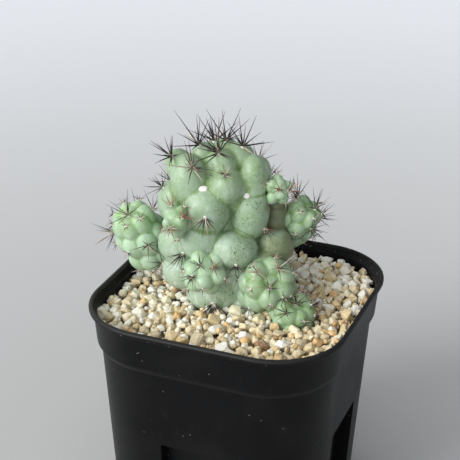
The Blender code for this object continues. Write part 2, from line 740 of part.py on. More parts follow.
def stem_centre(name):
    """The middle of a stem, which its spines point away from."""
    if name == "main_stem":
        return plant_point(*PLANT_AXIS, MAIN_STEM["heart"][0][2] + 8)
    return plant_point(*OFFSETS[name.removeprefix("offset_")][0])


def boxes_meet(first, second):
    """Whether the bounding boxes of two objects' meshes overlap."""
    lows, highs = [], []
    for obj in (first, second):
        points = [v.co for v in obj.data.vertices]
        lows.append([min(p[i] for p in points) for i in range(3)])
        highs.append([max(p[i] for p in points) for i in range(3)])
    return all(max(low) < min(high) for low, high in zip(zip(*lows), zip(*highs)))


def keep_largest(obj):
    """Drops the crumbs that a cut leaves, and keeps the largest connected part."""
    bm = bmesh.new()
    bm.from_mesh(obj.data)
    left, groups = set(bm.verts), []
    while left:
        stack, group = [left.pop()], set()
        while stack:
            vert = stack.pop()
            group.add(vert)
            for edge in vert.link_edges:
                other = edge.other_vert(vert)
                if other in left:
                    left.remove(other)
                    stack.append(other)
        groups.append(group)
    groups.sort(key=len)
    for group in groups[:-1]:
        bmesh.ops.delete(bm, geom=list(group), context="VERTS")
    bm.to_mesh(obj.data)
    bm.free()


main()
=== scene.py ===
"""The looks of a clustering round cactus in a square plastic nursery pot."""

from math import cos, pi, radians, sin
from random import Random

import bpy
import numpy as np
from mathutils import Matrix, Vector
from mathutils.bvhtree import BVHTree


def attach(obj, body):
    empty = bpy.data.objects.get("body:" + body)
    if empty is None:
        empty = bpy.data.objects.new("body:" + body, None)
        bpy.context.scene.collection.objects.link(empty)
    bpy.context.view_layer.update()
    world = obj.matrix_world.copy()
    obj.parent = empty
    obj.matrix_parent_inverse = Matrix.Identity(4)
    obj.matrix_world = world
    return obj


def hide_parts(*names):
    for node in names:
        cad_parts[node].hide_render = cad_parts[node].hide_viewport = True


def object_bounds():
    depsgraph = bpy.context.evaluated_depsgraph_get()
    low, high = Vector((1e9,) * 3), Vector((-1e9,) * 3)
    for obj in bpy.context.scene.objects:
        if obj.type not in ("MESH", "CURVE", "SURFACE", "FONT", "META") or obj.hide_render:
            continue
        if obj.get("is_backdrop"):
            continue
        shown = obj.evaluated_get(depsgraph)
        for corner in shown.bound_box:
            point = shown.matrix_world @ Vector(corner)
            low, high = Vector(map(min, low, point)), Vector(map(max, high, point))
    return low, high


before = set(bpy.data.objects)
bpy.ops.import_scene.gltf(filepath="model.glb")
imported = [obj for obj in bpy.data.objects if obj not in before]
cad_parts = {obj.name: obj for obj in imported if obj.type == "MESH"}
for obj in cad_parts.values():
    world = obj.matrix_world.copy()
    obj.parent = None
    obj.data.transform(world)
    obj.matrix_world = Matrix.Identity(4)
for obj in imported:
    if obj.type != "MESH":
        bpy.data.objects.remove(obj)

cad_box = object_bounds()

# ---- The pot ----
# An injection-moulded nursery pot of soft black polypropylene: a tapered square tub with a
# deeper band and a beaded lip, a recess down the middle of each side, and slots to drain.
MM = 0.001
POT_FLOOR = 4.0
POT_UNDERSIDE = 2.6
WALL = 1.2
# Half widths and heights, from the foot up: the outside, the inside, and the hollow foot.
POT_OUTLINE = (
    (37.2, 0.0),
    (37.5, 0.8),
    (41.4, 64.2),
    (42.7, 66.2),
    (43.6, 77.4),
    (44.9, 78.0),
    (45.0, 79.4),
    (44.3, 80.0),
)
POT_CAVITY = (
    (36.3, POT_FLOOR),
    (40.2, 64.2),
    (41.5, 66.2),
    (42.3, 77.0),
    (43.5, 78.6),
    (43.7, 80.2),
)
HOLLOW_FOOT = ((35.7, -1.0), (35.8, POT_UNDERSIDE))
FOOT_WIDTH = 1.8
FOOT_CORNER = 20.5
CORNER_STEPS = 14
RECESS_HALF_WIDTH = 13.5
RECESS_DEPTH = 4.6
RECESS_TOP = 38.0
RECESS_DRAFT = 1.4
RECESS_HEAD = 2.4
# The wall's half width at the foot, and how much wider it is at the height of the step.
WALL_FOOT_HALF = 37.5
WALL_SPREAD = 3.9
STEP_HEIGHT = 64.2
SLOT_SIZE = (3.0, 13.0)
SLOT_DISTANCE = 15
SLOT_ROUNDING = 1.45
PAD_RADIUS = 5
PAD_CLEARANCE = 2
FOOT_GAP_WIDTH = 18
FOOT_GAP_HEIGHT = 4
# Cutters reach this far past the pot, sideways and under its foot.
PAST_SIDE = 60.0
PAST_FOOT = 5.0


def deselect():
    if bpy.context.object and bpy.context.object.mode == "EDIT":
        bpy.ops.object.mode_set(mode="OBJECT")
    bpy.ops.object.select_all(action="DESELECT")


def pick(obj):
    """Makes the object the only selected one, and the active one."""
    deselect()
    obj.select_set(True)
    bpy.context.view_layer.objects.active = obj
    return obj


def placed(obj, name=None):
    """The object with its place, turn and size moved into its mesh."""
    pick(obj)
    bpy.ops.object.transform_apply(location=True, rotation=True, scale=True)
    if name:
        obj.name = name
        obj.data.name = name
    return obj


def finished_with(obj, kind, **settings):
    """Adds a modifier with these settings and applies it."""
    pick(obj)
    modifier = obj.modifiers.new(kind.title(), kind)
    for key, value in settings.items():
        setattr(modifier, key, value)
    bpy.ops.object.modifier_apply(modifier=modifier.name)
    return obj


def discard(*objects):
    for obj in objects:
        bpy.data.objects.remove(obj, do_unlink=True)


def moulded_form(name, outline, corner):
    """A solid with rounded corners, drawn up from its foot through (half width, height)."""
    deselect()
    half, height = outline[0]
    bpy.ops.mesh.primitive_plane_add(size=2 * half * MM, location=(0, 0, height * MM))
    form = bpy.context.object
    bpy.ops.object.mode_set(mode="EDIT")
    bpy.ops.mesh.bevel(offset=corner * MM, segments=CORNER_STEPS, affect="VERTICES")
    for next_half, next_height in outline[1:]:
        rise = (0, 0, (next_height - height) * MM)
        bpy.ops.mesh.extrude_region_move(TRANSFORM_OT_translate={"value": rise})
        grow = next_half / half
        bpy.ops.transform.resize(value=(grow, grow, 1))
        half, height = next_half, next_height
    bpy.ops.mesh.select_all(action="SELECT")
    bpy.ops.mesh.normals_make_consistent(inside=False)
    bpy.ops.object.mode_set(mode="OBJECT")
    return placed(form, name)


def recess_cutters(grown):
    """Four tapered blocks, one for the recess in each side, larger by `grown` all round."""
    blocks = []
    deep = RECESS_DEPTH + grown
    for quarter in range(4):
        deselect()
        bpy.ops.mesh.primitive_cube_add(size=1)
        block = bpy.context.object
        for vert in block.data.vertices:
            inner, top = vert.co.y > 0, vert.co.z > 0
            width = RECESS_HALF_WIDTH + grown - (RECESS_DRAFT if inner else 0)
            height = RECESS_TOP + grown - (RECESS_HEAD if inner else 0)
            side = WALL_FOOT_HALF + WALL_SPREAD * (height if top else 0) / STEP_HEIGHT
            vert.co.x = (width if vert.co.x > 0 else -width) * MM
            vert.co.z = (height if top else -PAST_FOOT) * MM
            vert.co.y = (-side + deep if inner else -PAST_SIDE) * MM
        block.data.transform(Matrix.Rotation(quarter * pi / 2, 4, "Z"))
        blocks.append(block)
    return joined(blocks, "recess_cutters")


def joined(parts, name):
    """All the objects as one, with its place in its mesh."""
    deselect()
    for part in parts:
        part.select_set(True)
    bpy.context.view_layer.objects.active = parts[0]
    if len(parts) > 1:
        bpy.ops.object.join()
    return placed(parts[0], name)


def cut(obj, *cutters):
    for cutter in cutters:
        finished_with(obj, "BOOLEAN", operation="DIFFERENCE", object=cutter, solver="EXACT")
    discard(*cutters)
    return obj


def rounded_slot(x, y, turned):
    """A round-ended slot cutter: a tall block with its upright edges rounded."""
    deselect()
    size = (SLOT_SIZE[0] * MM, SLOT_SIZE[1] * MM, 20.0 * MM)
    bpy.ops.mesh.primitive_cube_add(size=1, location=(x * MM, y * MM, 0), scale=size)
    slot = placed(bpy.context.object)
    slot.data.transform(Matrix.Translation((-x * MM, -y * MM, 0)))
    finished_with(slot, "BEVEL", width=SLOT_ROUNDING * MM, segments=5, limit_method="ANGLE")
    slot.data.transform(Matrix.Rotation(turned * pi / 2, 4, "Z"))
    slot.data.transform(Matrix.Translation((x * MM, y * MM, 0)))
    return slot


pot = moulded_form("pot_moulding", POT_OUTLINE, FOOT_CORNER)
finished_with(
    pot, "BEVEL", width=0.5 * MM, segments=3, limit_method="ANGLE", angle_limit=radians(14)
)
cavity = moulded_form("cavity", POT_CAVITY, FOOT_CORNER - WALL)
cut(cavity, recess_cutters(WALL))
hollow_foot = moulded_form("hollow_foot", HOLLOW_FOOT, FOOT_CORNER - FOOT_WIDTH)
cut(hollow_foot, recess_cutters(FOOT_WIDTH))


def pad_cutter(radius, depth):
    """A drum round the middle of the floor, where the moulded pad stays."""
    deselect()
    bpy.ops.mesh.primitive_cylinder_add(vertices=40, radius=radius * MM, depth=depth * MM)
    return placed(bpy.context.object)


cut(hollow_foot, pad_cutter(PAD_RADIUS, 8))
slots = [
    rounded_slot(x * SLOT_DISTANCE, y * SLOT_DISTANCE, x != 0)
    for x, y in ((1, 0), (-1, 0), (0, 1), (0, -1))
]
gaps = []
for wide, deep in ((FOOT_GAP_WIDTH, 100), (100, FOOT_GAP_WIDTH)):
    deselect()
    size = (wide * MM, deep * MM, FOOT_GAP_HEIGHT * MM)
    bpy.ops.mesh.primitive_cube_add(size=1, scale=size)
    gaps.append(placed(bpy.context.object))
cut(pot, recess_cutters(0), cavity, hollow_foot, *slots)
foot_gap = gaps[0]
finished_with(foot_gap, "BOOLEAN", operation="UNION", object=gaps[1], solver="EXACT")
cut(foot_gap, pad_cutter(PAD_RADIUS + PAD_CLEARANCE, 12))
cut(pot, foot_gap)
discard(gaps[1])
pick(pot)
bpy.ops.object.shade_smooth_by_angle(angle=radians(28))


class Value:
    """A socket in a material, whose operators add the Math nodes that they stand for."""

    def __init__(self, tree, socket=None):
        self.tree = tree
        self.socket = socket

    def node(self, kind, sockets=None, output=0, stops=None, **settings):
        """Any other node: its settings, then the values or links of its sockets."""
        made = self.tree.nodes.new("ShaderNode" + kind)
        for key, value in settings.items():
            setattr(made, key, value)
        if stops:
            elements = made.color_ramp.elements
            while len(elements) < len(stops):
                elements.new(0.5)
            for element, (place, colour) in zip(elements, stops):
                element.position = place
                element.color = (*colour, 1.0)
        for key, value in (sockets or {}).items():
            if isinstance(value, Value):
                self.tree.links.new(value.socket, made.inputs[key])
            else:
                made.inputs[key].default_value = value
        return Value(self.tree, made.outputs[output])

    def math(self, operation, *values):
        return self.node("Math", dict(enumerate(values)), operation=operation)

    def __add__(self, other):
        return self.math("ADD", self, other)

    def __sub__(self, other):
        return self.math("SUBTRACT", self, other)

    def __rsub__(self, other):
        return self.math("SUBTRACT", other, self)

    def __mul__(self, other):
        return self.math("MULTIPLY", self, other)

    def __gt__(self, other):
        return self.math("GREATER_THAN", self, other)

    def __lt__(self, other):
        return self.math("LESS_THAN", self, other)

    __radd__ = __add__
    __rmul__ = __mul__


def fade(value, low, high):
    """0 below `low`, 1 above `high`, and a soft step between."""
    sockets = {"Value": value, "From Min": low, "From Max": high}
    return value.node("MapRange", sockets, interpolation_type="SMOOTHSTEP")


def mixed(factor, first, second):
    """A colour between two colours."""
    colours = [c if isinstance(c, Value) else (*c, 1.0) for c in (first, second)]
    sockets = {0: factor, 6: colours[0], 7: colours[1]}
    return factor.node("Mix", sockets, output=2, data_type="RGBA")


def mottle(start, where, scale, detail=4.0, roughness=0.5):
    sockets = {"Vector": where, "Scale": scale, "Detail": detail, "Roughness": roughness}
    return start.node("TexNoise", sockets)


def new_finish(name, **plain):
    """A material with these plain values: its start, its Object coordinates and its surface."""
    material = bpy.data.materials.new(name)
    material.use_nodes = True
    tree = material.node_tree
    surface = tree.nodes["Principled BSDF"]
    for key, value in plain.items():
        surface.inputs[key.replace("_", " ").title().replace("Ior", "IOR")].default_value = value
    start = Value(tree)
    return material, start, start.node("TexCoord", output=3), surface


def feed(surface, **links):
    for key, value in links.items():
        socket = surface.inputs[key.replace("_", " ").title()]
        value.tree.links.new(value.socket, socket)


def bumped(height, strength, distance):
    """The normal of a surface raised by `height`, up to `distance` metres."""
    sockets = {"Height": height, "Strength": strength, "Distance": distance}
    return height.node("Bump", sockets)


def paint(obj, *materials):
    obj.data.materials.clear()
    for material in materials:
        obj.data.materials.append(material)
    return obj


def black_plastic():
    """Satin black, a little dusty, with faint rubs, specks of gravel dust, knocks on the lip, a worn
    line along the step's edge, and a light line along the lip's top, partly wear and partly a
    painted highlight."""
    material, start, where, surface = new_finish("black_polypropylene", specular_ior_level=0.14)
    stretched = start.node("Mapping", {"Vector": where, "Scale": (1.0, 1.0, 0.12)})
    rubs = fade(mottle(start, stretched, 900.0, 3.0), 0.60, 0.78)
    cloud = mottle(start, where, 45.0, 5.0)
    cells = start.node("TexVoronoi", {"Vector": where, "Scale": 760.0}, output=0)
    lot = start.node("TexVoronoi", {"Vector": where, "Scale": 760.0}, output=1)
    chance = start.node("SeparateColor", {"Color": lot})
    specks = (cells < 0.15) * (chance > 0.955)
    height = start.node("SeparateXYZ", {"Vector": where}, output=2)
    dusty = fade(cloud, 0.42, 0.72)
    near_lip = fade(height, 0.060, 0.080)
    # The lip's top is painted lighter: partly wear, partly a painted highlight along the bead.
    rim_wear_and_highlight = fade(height, 0.0784, 0.0797)
    step = fade(height, 0.0637, 0.0643) * (1 - fade(height, 0.0648, 0.0656))
    wear_and_rim_highlight = rim_wear_and_highlight * 0.15 + step * 0.05
    dust_wear_and_rim_highlight = dusty * (near_lip * 0.03 + 0.03) + rubs * 0.04 + wear_and_rim_highlight
    base = mixed(dust_wear_and_rim_highlight, (0.0024, 0.0025, 0.0030), (0.11, 0.108, 0.10))
    base = mixed(specks * 0.4, base, (0.34, 0.33, 0.30))
    knocks = fade(mottle(start, where, 520.0, 5.0, 0.7), 0.64, 0.70) * fade(height, 0.0768, 0.0776)
    knocks = knocks * (1 - fade(height, 0.0782, 0.0788))
    base = mixed(knocks * 0.5, base, (0.28, 0.28, 0.27))
    feed(surface, base_color=base, roughness=cloud * 0.22 + (rubs * 0.12 + 0.30))
    grain = mottle(start, where, 2600.0, 2.0)
    feed(surface, normal=bumped(grain * 0.4 + cloud, 0.25, 0.00012))
    return material


paint(pot, black_plastic())
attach(pot, "root")
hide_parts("pot")

# ---- The potting soil and the roots ----
# Dark, moist peat with bark crumbs fills the pot, seen only through the drainage slots, and
# the plant's tan roots run through it. Both keep the shapes they were given in the frame.


def crumbly(name, grain, low, dark, light, relief, **plain):
    """A dull finish whose colour and surface both follow one fine grain."""
    material, start, where, surface = new_finish(name, **plain)
    crumbs = mottle(start, where, *grain)
    base = mixed(fade(crumbs, low, 0.7), dark, light)
    feed(surface, base_color=base, normal=bumped(crumbs, *relief))
    return material


PEAT_COLOURS = ((0.018, 0.011, 0.007), (0.085, 0.052, 0.030))
BARK_COLOURS = ((0.19, 0.115, 0.06), (0.46, 0.33, 0.20))
CRUMB_RELIEF = (0.9, 0.0008)
peat = crumbly(
    "moist_peat", (700.0, 6.0, 0.7), 0.35, *PEAT_COLOURS, CRUMB_RELIEF, roughness=0.95
)
bark = crumbly(
    "root_bark", (900.0, 4.0, 0.6), 0.3, *BARK_COLOURS, (0.6, 0.0003), roughness=0.85
)
paint(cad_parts["potting_soil"], peat)
paint(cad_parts["roots"], bark)

# ---- The gravel ----
# A top dressing of crushed quartz, mostly 2 to 4 mm: angular grains from milky white to tan,
# a few stained orange or brown, poured over the soil and lying loose against the stems.
GRAVEL_TOP = 75.0
BED_TOP = 71.6
GRAVEL_HALF = 42.6
GRAVEL_CORNER = 22.0
GRAIN_KINDS = 12
GRAIN_SIZE = (1.5, 5.0)
# Pouring: the ground is a grid of heights in cells of `CELL`, and a grain tries a few spots. As
# shares of its size, it reaches `GRAIN_REACH` sideways, its middle sits `GRAIN_SEAT` over the
# ground, and its top swells `GRAIN_DOME` above that. Grains stand up to `HEAPED` over the
# gravel's level, and the pour ends once `FULL_AFTER` of them found no room.
CELL = 0.5
TRIES = 7
GRAIN_REACH = 0.42
GRAIN_SEAT = 0.26
GRAIN_DOME = 0.34
HEAPED = 0.9
FULL_AFTER = 400
STEM_CLEARANCE = 0.12
# The grains are whiter at the back left and more stained at the front right: partly their own
# tone, partly painted light that brightens the gravel towards the back left.
WHITENESS = 1.95
PAINTED_LIGHT_SLOPE = 1.4
PAINTED_LIGHT_SPAN = 60
STEM_NODES = sorted(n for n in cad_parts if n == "main_stem" or n.startswith("offset_"))


def surface_of(objects):
    """One search tree over the surfaces of the objects."""
    points, faces = [], []
    for obj in objects:
        first = len(points)
        points += [v.co for v in obj.data.vertices]
        faces += [[first + i for i in p.vertices] for p in obj.data.polygons]
    return BVHTree.FromPolygons(points, faces)


def inside_pot(x, y, margin):
    """Whether a point is inside the pot's inner wall by at least `margin`, in millimetres."""
    edge = GRAVEL_HALF - margin
    over_x = abs(x) - (GRAVEL_HALF - GRAVEL_CORNER)
    over_y = abs(y) - (GRAVEL_HALF - GRAVEL_CORNER)
    if over_x > 0 and over_y > 0:
        return over_x**2 + over_y**2 < (GRAVEL_CORNER - margin) ** 2
    return abs(x) < edge and abs(y) < edge


def model_grain(seed):
    """An angular grain: a block or a ball of facets with its corners shaken, wrapped tight,
    its edges worn."""
    chance = Random(seed)
    deselect()
    shape = [chance.uniform(0.75, 1.0), chance.uniform(0.65, 0.95), chance.uniform(0.5, 0.85)]
    if seed % 3:
        bpy.ops.mesh.primitive_ico_sphere_add(subdivisions=1, radius=0.65, scale=shape)
        grain = placed(bpy.context.object)
    else:
        bpy.ops.mesh.primitive_cube_add(size=1, scale=shape)
        grain = placed(bpy.context.object)
        finished_with(grain, "BEVEL", width=0.16, segments=1, limit_method="NONE")
    for vert in grain.data.vertices:
        vert.co *= chance.uniform(0.72, 1.24)
    bpy.ops.object.mode_set(mode="EDIT")
    bpy.ops.mesh.select_all(action="SELECT")
    bpy.ops.mesh.convex_hull()
    bpy.ops.object.mode_set(mode="OBJECT")
    finished_with(grain, "BEVEL", width=0.03, segments=1, limit_method="ANGLE")
    grain.data.attributes.new("tone", "FLOAT", "POINT")
    return grain


def pour_grains(stems):
    """Places for the grains: each comes to rest in the lowest of a few spots it could fall to."""
    chance = Random(11)
    side = int(2 * GRAVEL_HALF / CELL) + 1
    ground = np.full((side, side), BED_TOP)
    grains = []
    settled = 0
    while settled < FULL_AFTER:
        size = GRAIN_SIZE[0] + (GRAIN_SIZE[1] - GRAIN_SIZE[0]) * chance.random() ** 1.5
        reach = size * GRAIN_REACH
        span = int(reach / CELL) + 1
        best = None
        for _ in range(TRIES):
            x = chance.uniform(-GRAVEL_HALF, GRAVEL_HALF)
            y = chance.uniform(-GRAVEL_HALF, GRAVEL_HALF)
            if not inside_pot(x, y, reach + 0.2):
                continue
            i, j = int((x + GRAVEL_HALF) / CELL), int((y + GRAVEL_HALF) / CELL)
            patch = ground[max(i - span, 0) : i + span + 1, max(j - span, 0) : j + span + 1]
            rest = float(patch.mean() * 0.5 + patch.max() * 0.5)
            if best is None or rest < best[0]:
                best = (rest, x, y, i, j)
        if best is None:
            continue
        rest, x, y, i, j = best
        middle = rest + size * GRAIN_SEAT
        if middle + size * 0.2 > GRAVEL_TOP + HEAPED:
            settled += 1
            continue
        rows = np.arange(max(i - span, 0), min(i + span + 1, side))
        cols = np.arange(max(j - span, 0), min(j + span + 1, side))
        away = ((rows - i)[:, None] ** 2 + (cols - j)[None, :] ** 2) * CELL**2
        bulge = np.sqrt(np.clip(1 - away / (reach * 1.15) ** 2, 0, 1))
        dome = middle + size * GRAIN_DOME * bulge
        block = np.ix_(rows, cols)
        ground[block] = np.where(away < reach**2, np.maximum(ground[block], dome), ground[block])
        place = Vector((x, y, middle)) * MM
        near, normal, _, _ = stems.find_nearest(place)
        if (place - near).dot(normal) < size * STEM_CLEARANCE * MM:
            continue
        grains.append((place, size))
    return grains


def quartz():
    """Milky to tan stone; each grain has one tone, a little cloudy inside, with dusty faces."""
    material, start, where, surface = new_finish(
        "crushed_quartz", subsurface_weight=0.22, subsurface_scale=0.0015, specular_ior_level=0.4
    )
    surface.inputs["Subsurface Radius"].default_value = (1.0, 0.85, 0.62)
    tone = start.node("Attribute", output=2, attribute_name="tone")
    colours = tone.node(
        "ValToRGB",
        {"Fac": tone},
        stops=(
            (0.0, (0.92, 0.90, 0.81)),
            (0.24, (0.86, 0.78, 0.58)),
            (0.48, (0.78, 0.66, 0.41)),
            (0.66, (0.55, 0.47, 0.31)),
            (0.84, (0.74, 0.58, 0.32)),
            (0.96, (0.72, 0.47, 0.21)),
            (1.0, (0.36, 0.22, 0.11)),
        ),
    )
    cloud = mottle(start, where, 420.0, 5.0, 0.6)
    base = mixed(fade(cloud, 0.48, 0.74) * 0.36, colours, (0.60, 0.47, 0.25))
    base = mixed(fade(mottle(start, where, 1500.0), 0.56, 0.66) * 0.35, base, (0.93, 0.90, 0.82))
    pits = mottle(start, where, 2400.0, 3.0, 0.65)
    feed(surface, base_color=base, roughness=cloud * 0.35 + 0.28)
    feed(surface, normal=bumped(pits + cloud, 0.35, 0.0003))
    return material


def lay_gravel():
    masters = [model_grain(seed) for seed in range(GRAIN_KINDS)]
    chance = Random(5)
    stems = surface_of([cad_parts[n] for n in STEM_NODES])
    heaps = ([], [])
    for place, size in pour_grains(stems):
        master = chance.choice(masters)
        grain = master.copy()
        grain.data = master.data.copy()
        # Painted light: the tones brighten across the pot towards the back left.
        whiteness_and_painted_light = WHITENESS + PAINTED_LIGHT_SLOPE * (place.y - place.x) / (PAINTED_LIGHT_SPAN * MM)
        tone = chance.random() ** whiteness_and_painted_light
        tones = [tone] * len(grain.data.vertices)
        grain.data.attributes["tone"].data.foreach_set("value", tones)
        axis = Vector((chance.gauss(0, 1), chance.gauss(0, 1), chance.gauss(0, 1)))
        turn = Matrix.Rotation(chance.uniform(0, 2 * pi), 4, axis.normalized())
        grain.matrix_world = Matrix.Translation(place) @ turn @ Matrix.Scale(size * MM, 4)
        bpy.context.collection.objects.link(grain)
        heaps[chance.randrange(2)].append(grain)
    discard(*masters)
    stone = quartz()
    pieces = []
    for heap, name in zip(heaps, ("gravel_grains", "gravel_grains_between")):
        piece = joined(heap, name)
        paint(piece, stone)
        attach(piece, "root")
        pieces.append(piece)
    return pieces


gravel = lay_gravel()
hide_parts("gravel_layer")


DUST_COLOURS = ((0.17, 0.13, 0.085), (0.44, 0.36, 0.25))
BED_OUTLINE = ((40.9, 66.5), (41.8, BED_TOP - 0.4), (41.2, BED_TOP))
BED_CORNER = 19.5
gravel_bed = moulded_form("gravel_bed", BED_OUTLINE, BED_CORNER)
finished_with(gravel_bed, "BEVEL", width=0.3 * MM, segments=2, limit_method="ANGLE")
gravel_dust = crumbly(
    "gravel_dust", (900.0, 6.0, 0.7), 0.35, *DUST_COLOURS, CRUMB_RELIEF, roughness=0.95
)
paint(gravel_bed, gravel_dust)
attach(gravel_bed, "root")

# ---- The main stem ----
# The old stem is a heap of swollen tubercles grown into one another. Its skin is firm, greener
# near the crown and greener and darker in the folds, where the darkening is partly painted shade,
# under a pale waxy bloom freckled with dark pin-points.
PLANT_TURN = radians(21.5)
# Each lump holds tubercles that flow into one another; the lumps meet in sharper folds. A
# tubercle has its centre in the plant's frame (across, deep, up), its half sizes and its lean.
MAIN_LUMPS = (
    {
        "heart": ((-4.0, 14.5, 20.0), (16.0, 14.0, 24.0), 0),
        "crown": ((-7.0, 12.0, 42.0), (10.0, 8.6, 9.0), 0),
    },
    {
        "cheek": ((-11.6, 1.2, 33.8), (8.5, 7.8, 9.0), -4),
        "chin": ((-13.8, 1.8, 22.8), (8.6, 7.4, 8.6), 0),
    },
    {
        "brow": ((-17.0, 4.4, 41.8), (6.7, 6.8, 10.4), -10),
        "shoulder": ((-22.4, 7.6, 33.0), (6.0, 6.8, 8.4), -6),
    },
    {
        "flank": ((-20.0, 3.2, 20.2), (8.2, 7.0, 8.0), 0),
        "haunch": ((-19.8, 3.6, 9.6), (7.0, 6.4, 7.2), 0),
    },
    {
        "ridge": ((-5.2, 2.2, 41.4), (6.2, 6.4, 7.0), -4),
        "tip_front": ((-6.4, 6.2, 47.8), (5.3, 5.4, 5.6), 4),
        "throat": ((-1.6, 3.8, 37.6), (5.2, 4.6, 8.6), 0),
    },
    {
        "column": ((4.5, 6.0, 42.6), (5.3, 5.5, 8.7), -3),
        "collar": ((3.3, 3.4, 31.0), (6.7, 6.5, 9.8), 7),
    },
    {
        "nape": ((5.4, 14.0, 40.0), (5.4, 6.4, 8.0), 6),
        "waist": ((12.0, 12.0, 24.6), (5.0, 6.2, 12.0), 0),
        "hip": ((12.0, 4.4, 18.4), (6.6, 6.3, 6.7), 0),
        "knuckle": ((9.6, -1.0, 16.0), (4.4, 3.8, 3.0), 0),
    },
    {"temple": ((-20.8, 8.4, 46.4), (5.0, 5.4, 6.0), -16)},
    {"tip_right": ((-0.4, 10.0, 49.4), (5.2, 5.0, 4.8), 30)},
    {"tip_left": ((-12.6, 10.2, 48.8), (4.2, 4.6, 5.4), -14)},
    {"tip_back": ((-5.4, 14.2, 49.4), (5.2, 5.2, 4.6), 0)},
    {"belly": ((-1.9, -1.3, 19.6), (8.3, 6.8, 6.5), 6)},
    {
        "lap": ((-8.8, -0.4, 3.8), (9.6, 8.2, 8.2), 0),
        "apron": ((-1.8, 0.6, 9.6), (6.6, 6.6, 6.8), 0),
    },
    {"heel": ((2.4, 0.6, -0.2), (8.4, 7.3, 5.4), 0)},
    {"back_crown": ((-9.0, 20.0, 42.0), (8.0, 7.2, 8.6), 0)},
    {
        "back_left": ((-17.0, 19.6, 31.0), (8.2, 8.2, 9.0), -8),
        "rump_left": ((-15.0, 23.0, 11.0), (9.0, 8.6, 9.2), 0),
        "saddle": ((-15.0, 13.0, 7.0), (8.0, 9.0, 9.0), 0),
    },
    {
        "back_middle": ((-7.0, 25.6, 28.6), (8.8, 8.0, 9.4), 0),
        "rump_middle": ((-3.0, 28.0, 11.0), (9.4, 8.0, 9.0), 0),
    },
    {
        "back_right": ((3.6, 22.6, 30.0), (8.0, 8.0, 9.2), 6),
        "rump_right": ((7.4, 21.0, 10.6), (8.4, 8.4, 9.4), 0),
    },
)
LUMP_GRAIN = 0.6
LUMP_SOFTENING = 10
MAIN_GRAIN = 0.42
MAIN_SOFTENING = 3


def plant_point(across, deep, up):
    """A point of the plant's frame, in metres in the object's frame."""
    turned = Matrix.Rotation(PLANT_TURN, 3, "Z") @ Vector((across, deep, up))
    return (turned + Vector((0, 0, GRAVEL_TOP))) * MM


def plant_direction(across, deep, up):
    return (Matrix.Rotation(PLANT_TURN, 3, "Z") @ Vector((across, deep, up))).normalized()


def swelling(centre, radii, axes):
    """One tubercle before it is grown in: a ball drawn out to its three half sizes."""
    deselect()
    bpy.ops.mesh.primitive_ico_sphere_add(subdivisions=4, radius=1)
    ball = bpy.context.object
    size = Matrix.Diagonal((*[r * MM for r in radii], 1))
    ball.matrix_world = Matrix.Translation(centre) @ axes.to_4x4() @ size
    return ball


def softened(obj, grain, softening):
    """One closed skin over all that the object holds, softened where its parts meet."""
    finished_with(obj, "REMESH", mode="VOXEL", voxel_size=grain * MM)
    return finished_with(obj, "SMOOTH", factor=0.6, iterations=softening)


def uneven(obj, *waves):
    """Raises and sinks the skin in waves of these (length, strength)."""
    for size, strength in waves:
        texture = bpy.data.textures.new("unevenness", "CLOUDS")
        texture.noise_scale = size * MM
        finished_with(
            obj, "DISPLACE", texture=texture, strength=strength * MM, texture_coords="LOCAL"
        )
    pick(obj)
    bpy.ops.object.shade_smooth()
    return obj


def read_mesh(obj):
    """The points, the normals and the edges of a mesh, as arrays."""
    mesh = obj.data
    points = np.empty(len(mesh.vertices) * 3)
    mesh.vertices.foreach_get("co", points)
    normals = np.empty(len(mesh.vertices) * 3)
    mesh.vertices.foreach_get("normal", normals)
    edges = np.empty(len(mesh.edges) * 2, dtype=np.int64)
    mesh.edges.foreach_get("vertices", edges)
    return points.reshape(-1, 3), normals.reshape(-1, 3), edges.reshape(-1, 2)


def relaxed(points, edges, rounds):
    """The points after so many rounds of moving half way to the middle of their neighbours."""
    count = len(points)
    ends = np.concatenate((edges[:, 0], edges[:, 1]))
    others = np.concatenate((edges[:, 1], edges[:, 0]))
    share = np.bincount(ends, minlength=count)
    for _ in range(rounds):
        drawn = [np.bincount(ends, points[others, k], minlength=count) / share for k in range(3)]
        points = (points + np.stack(drawn, axis=1)) / 2
    return points


def put_values(obj, name, values):
    attribute = obj.data.attributes.new(name, "FLOAT", "POINT")
    attribute.data.foreach_set("value", np.asarray(values, dtype=np.float32))


def mark_folds(obj, rounds, depth):
    """Stores how deep in a fold each point lies, below 0 on the crests."""
    points, normals, edges = read_mesh(obj)
    lift = ((relaxed(points, edges, rounds) - points) * normals).sum(axis=1)
    put_values(obj, "fold", np.clip(lift / (depth * MM), -1, 1))


def make_main_stem():
    lumps = []
    for tubercles in MAIN_LUMPS:
        balls = []
        for place, radii, lean in tubercles.values():
            axes = Matrix.Rotation(PLANT_TURN, 3, "Z") @ Matrix.Rotation(radians(lean), 3, "Y")
            balls.append(swelling(plant_point(*place), radii, axes))
        lumps.append(softened(joined(balls, "lump"), LUMP_GRAIN, LUMP_SOFTENING))
    stem = softened(joined(lumps, "stem_main"), MAIN_GRAIN, MAIN_SOFTENING)
    return uneven(stem, (8.0, 0.6), (3.0, 0.12))


# Wrinkles: the tubercle, the height of the crease above the gravel, its depth and half width.
WRINKLES = (
    ("column", 38.7, 0.55, 0.40),
    ("column", 43.4, 0.14, 0.35),
    ("column", 46.0, 0.09, 0.30),
    ("collar", 24.8, 0.20, 0.45),
    ("waist", 31.4, 0.30, 0.45),
    ("waist", 27.6, 0.22, 0.40),
    ("waist", 23.2, 0.22, 0.40),
    ("waist", 19.6, 0.16, 0.40),
)


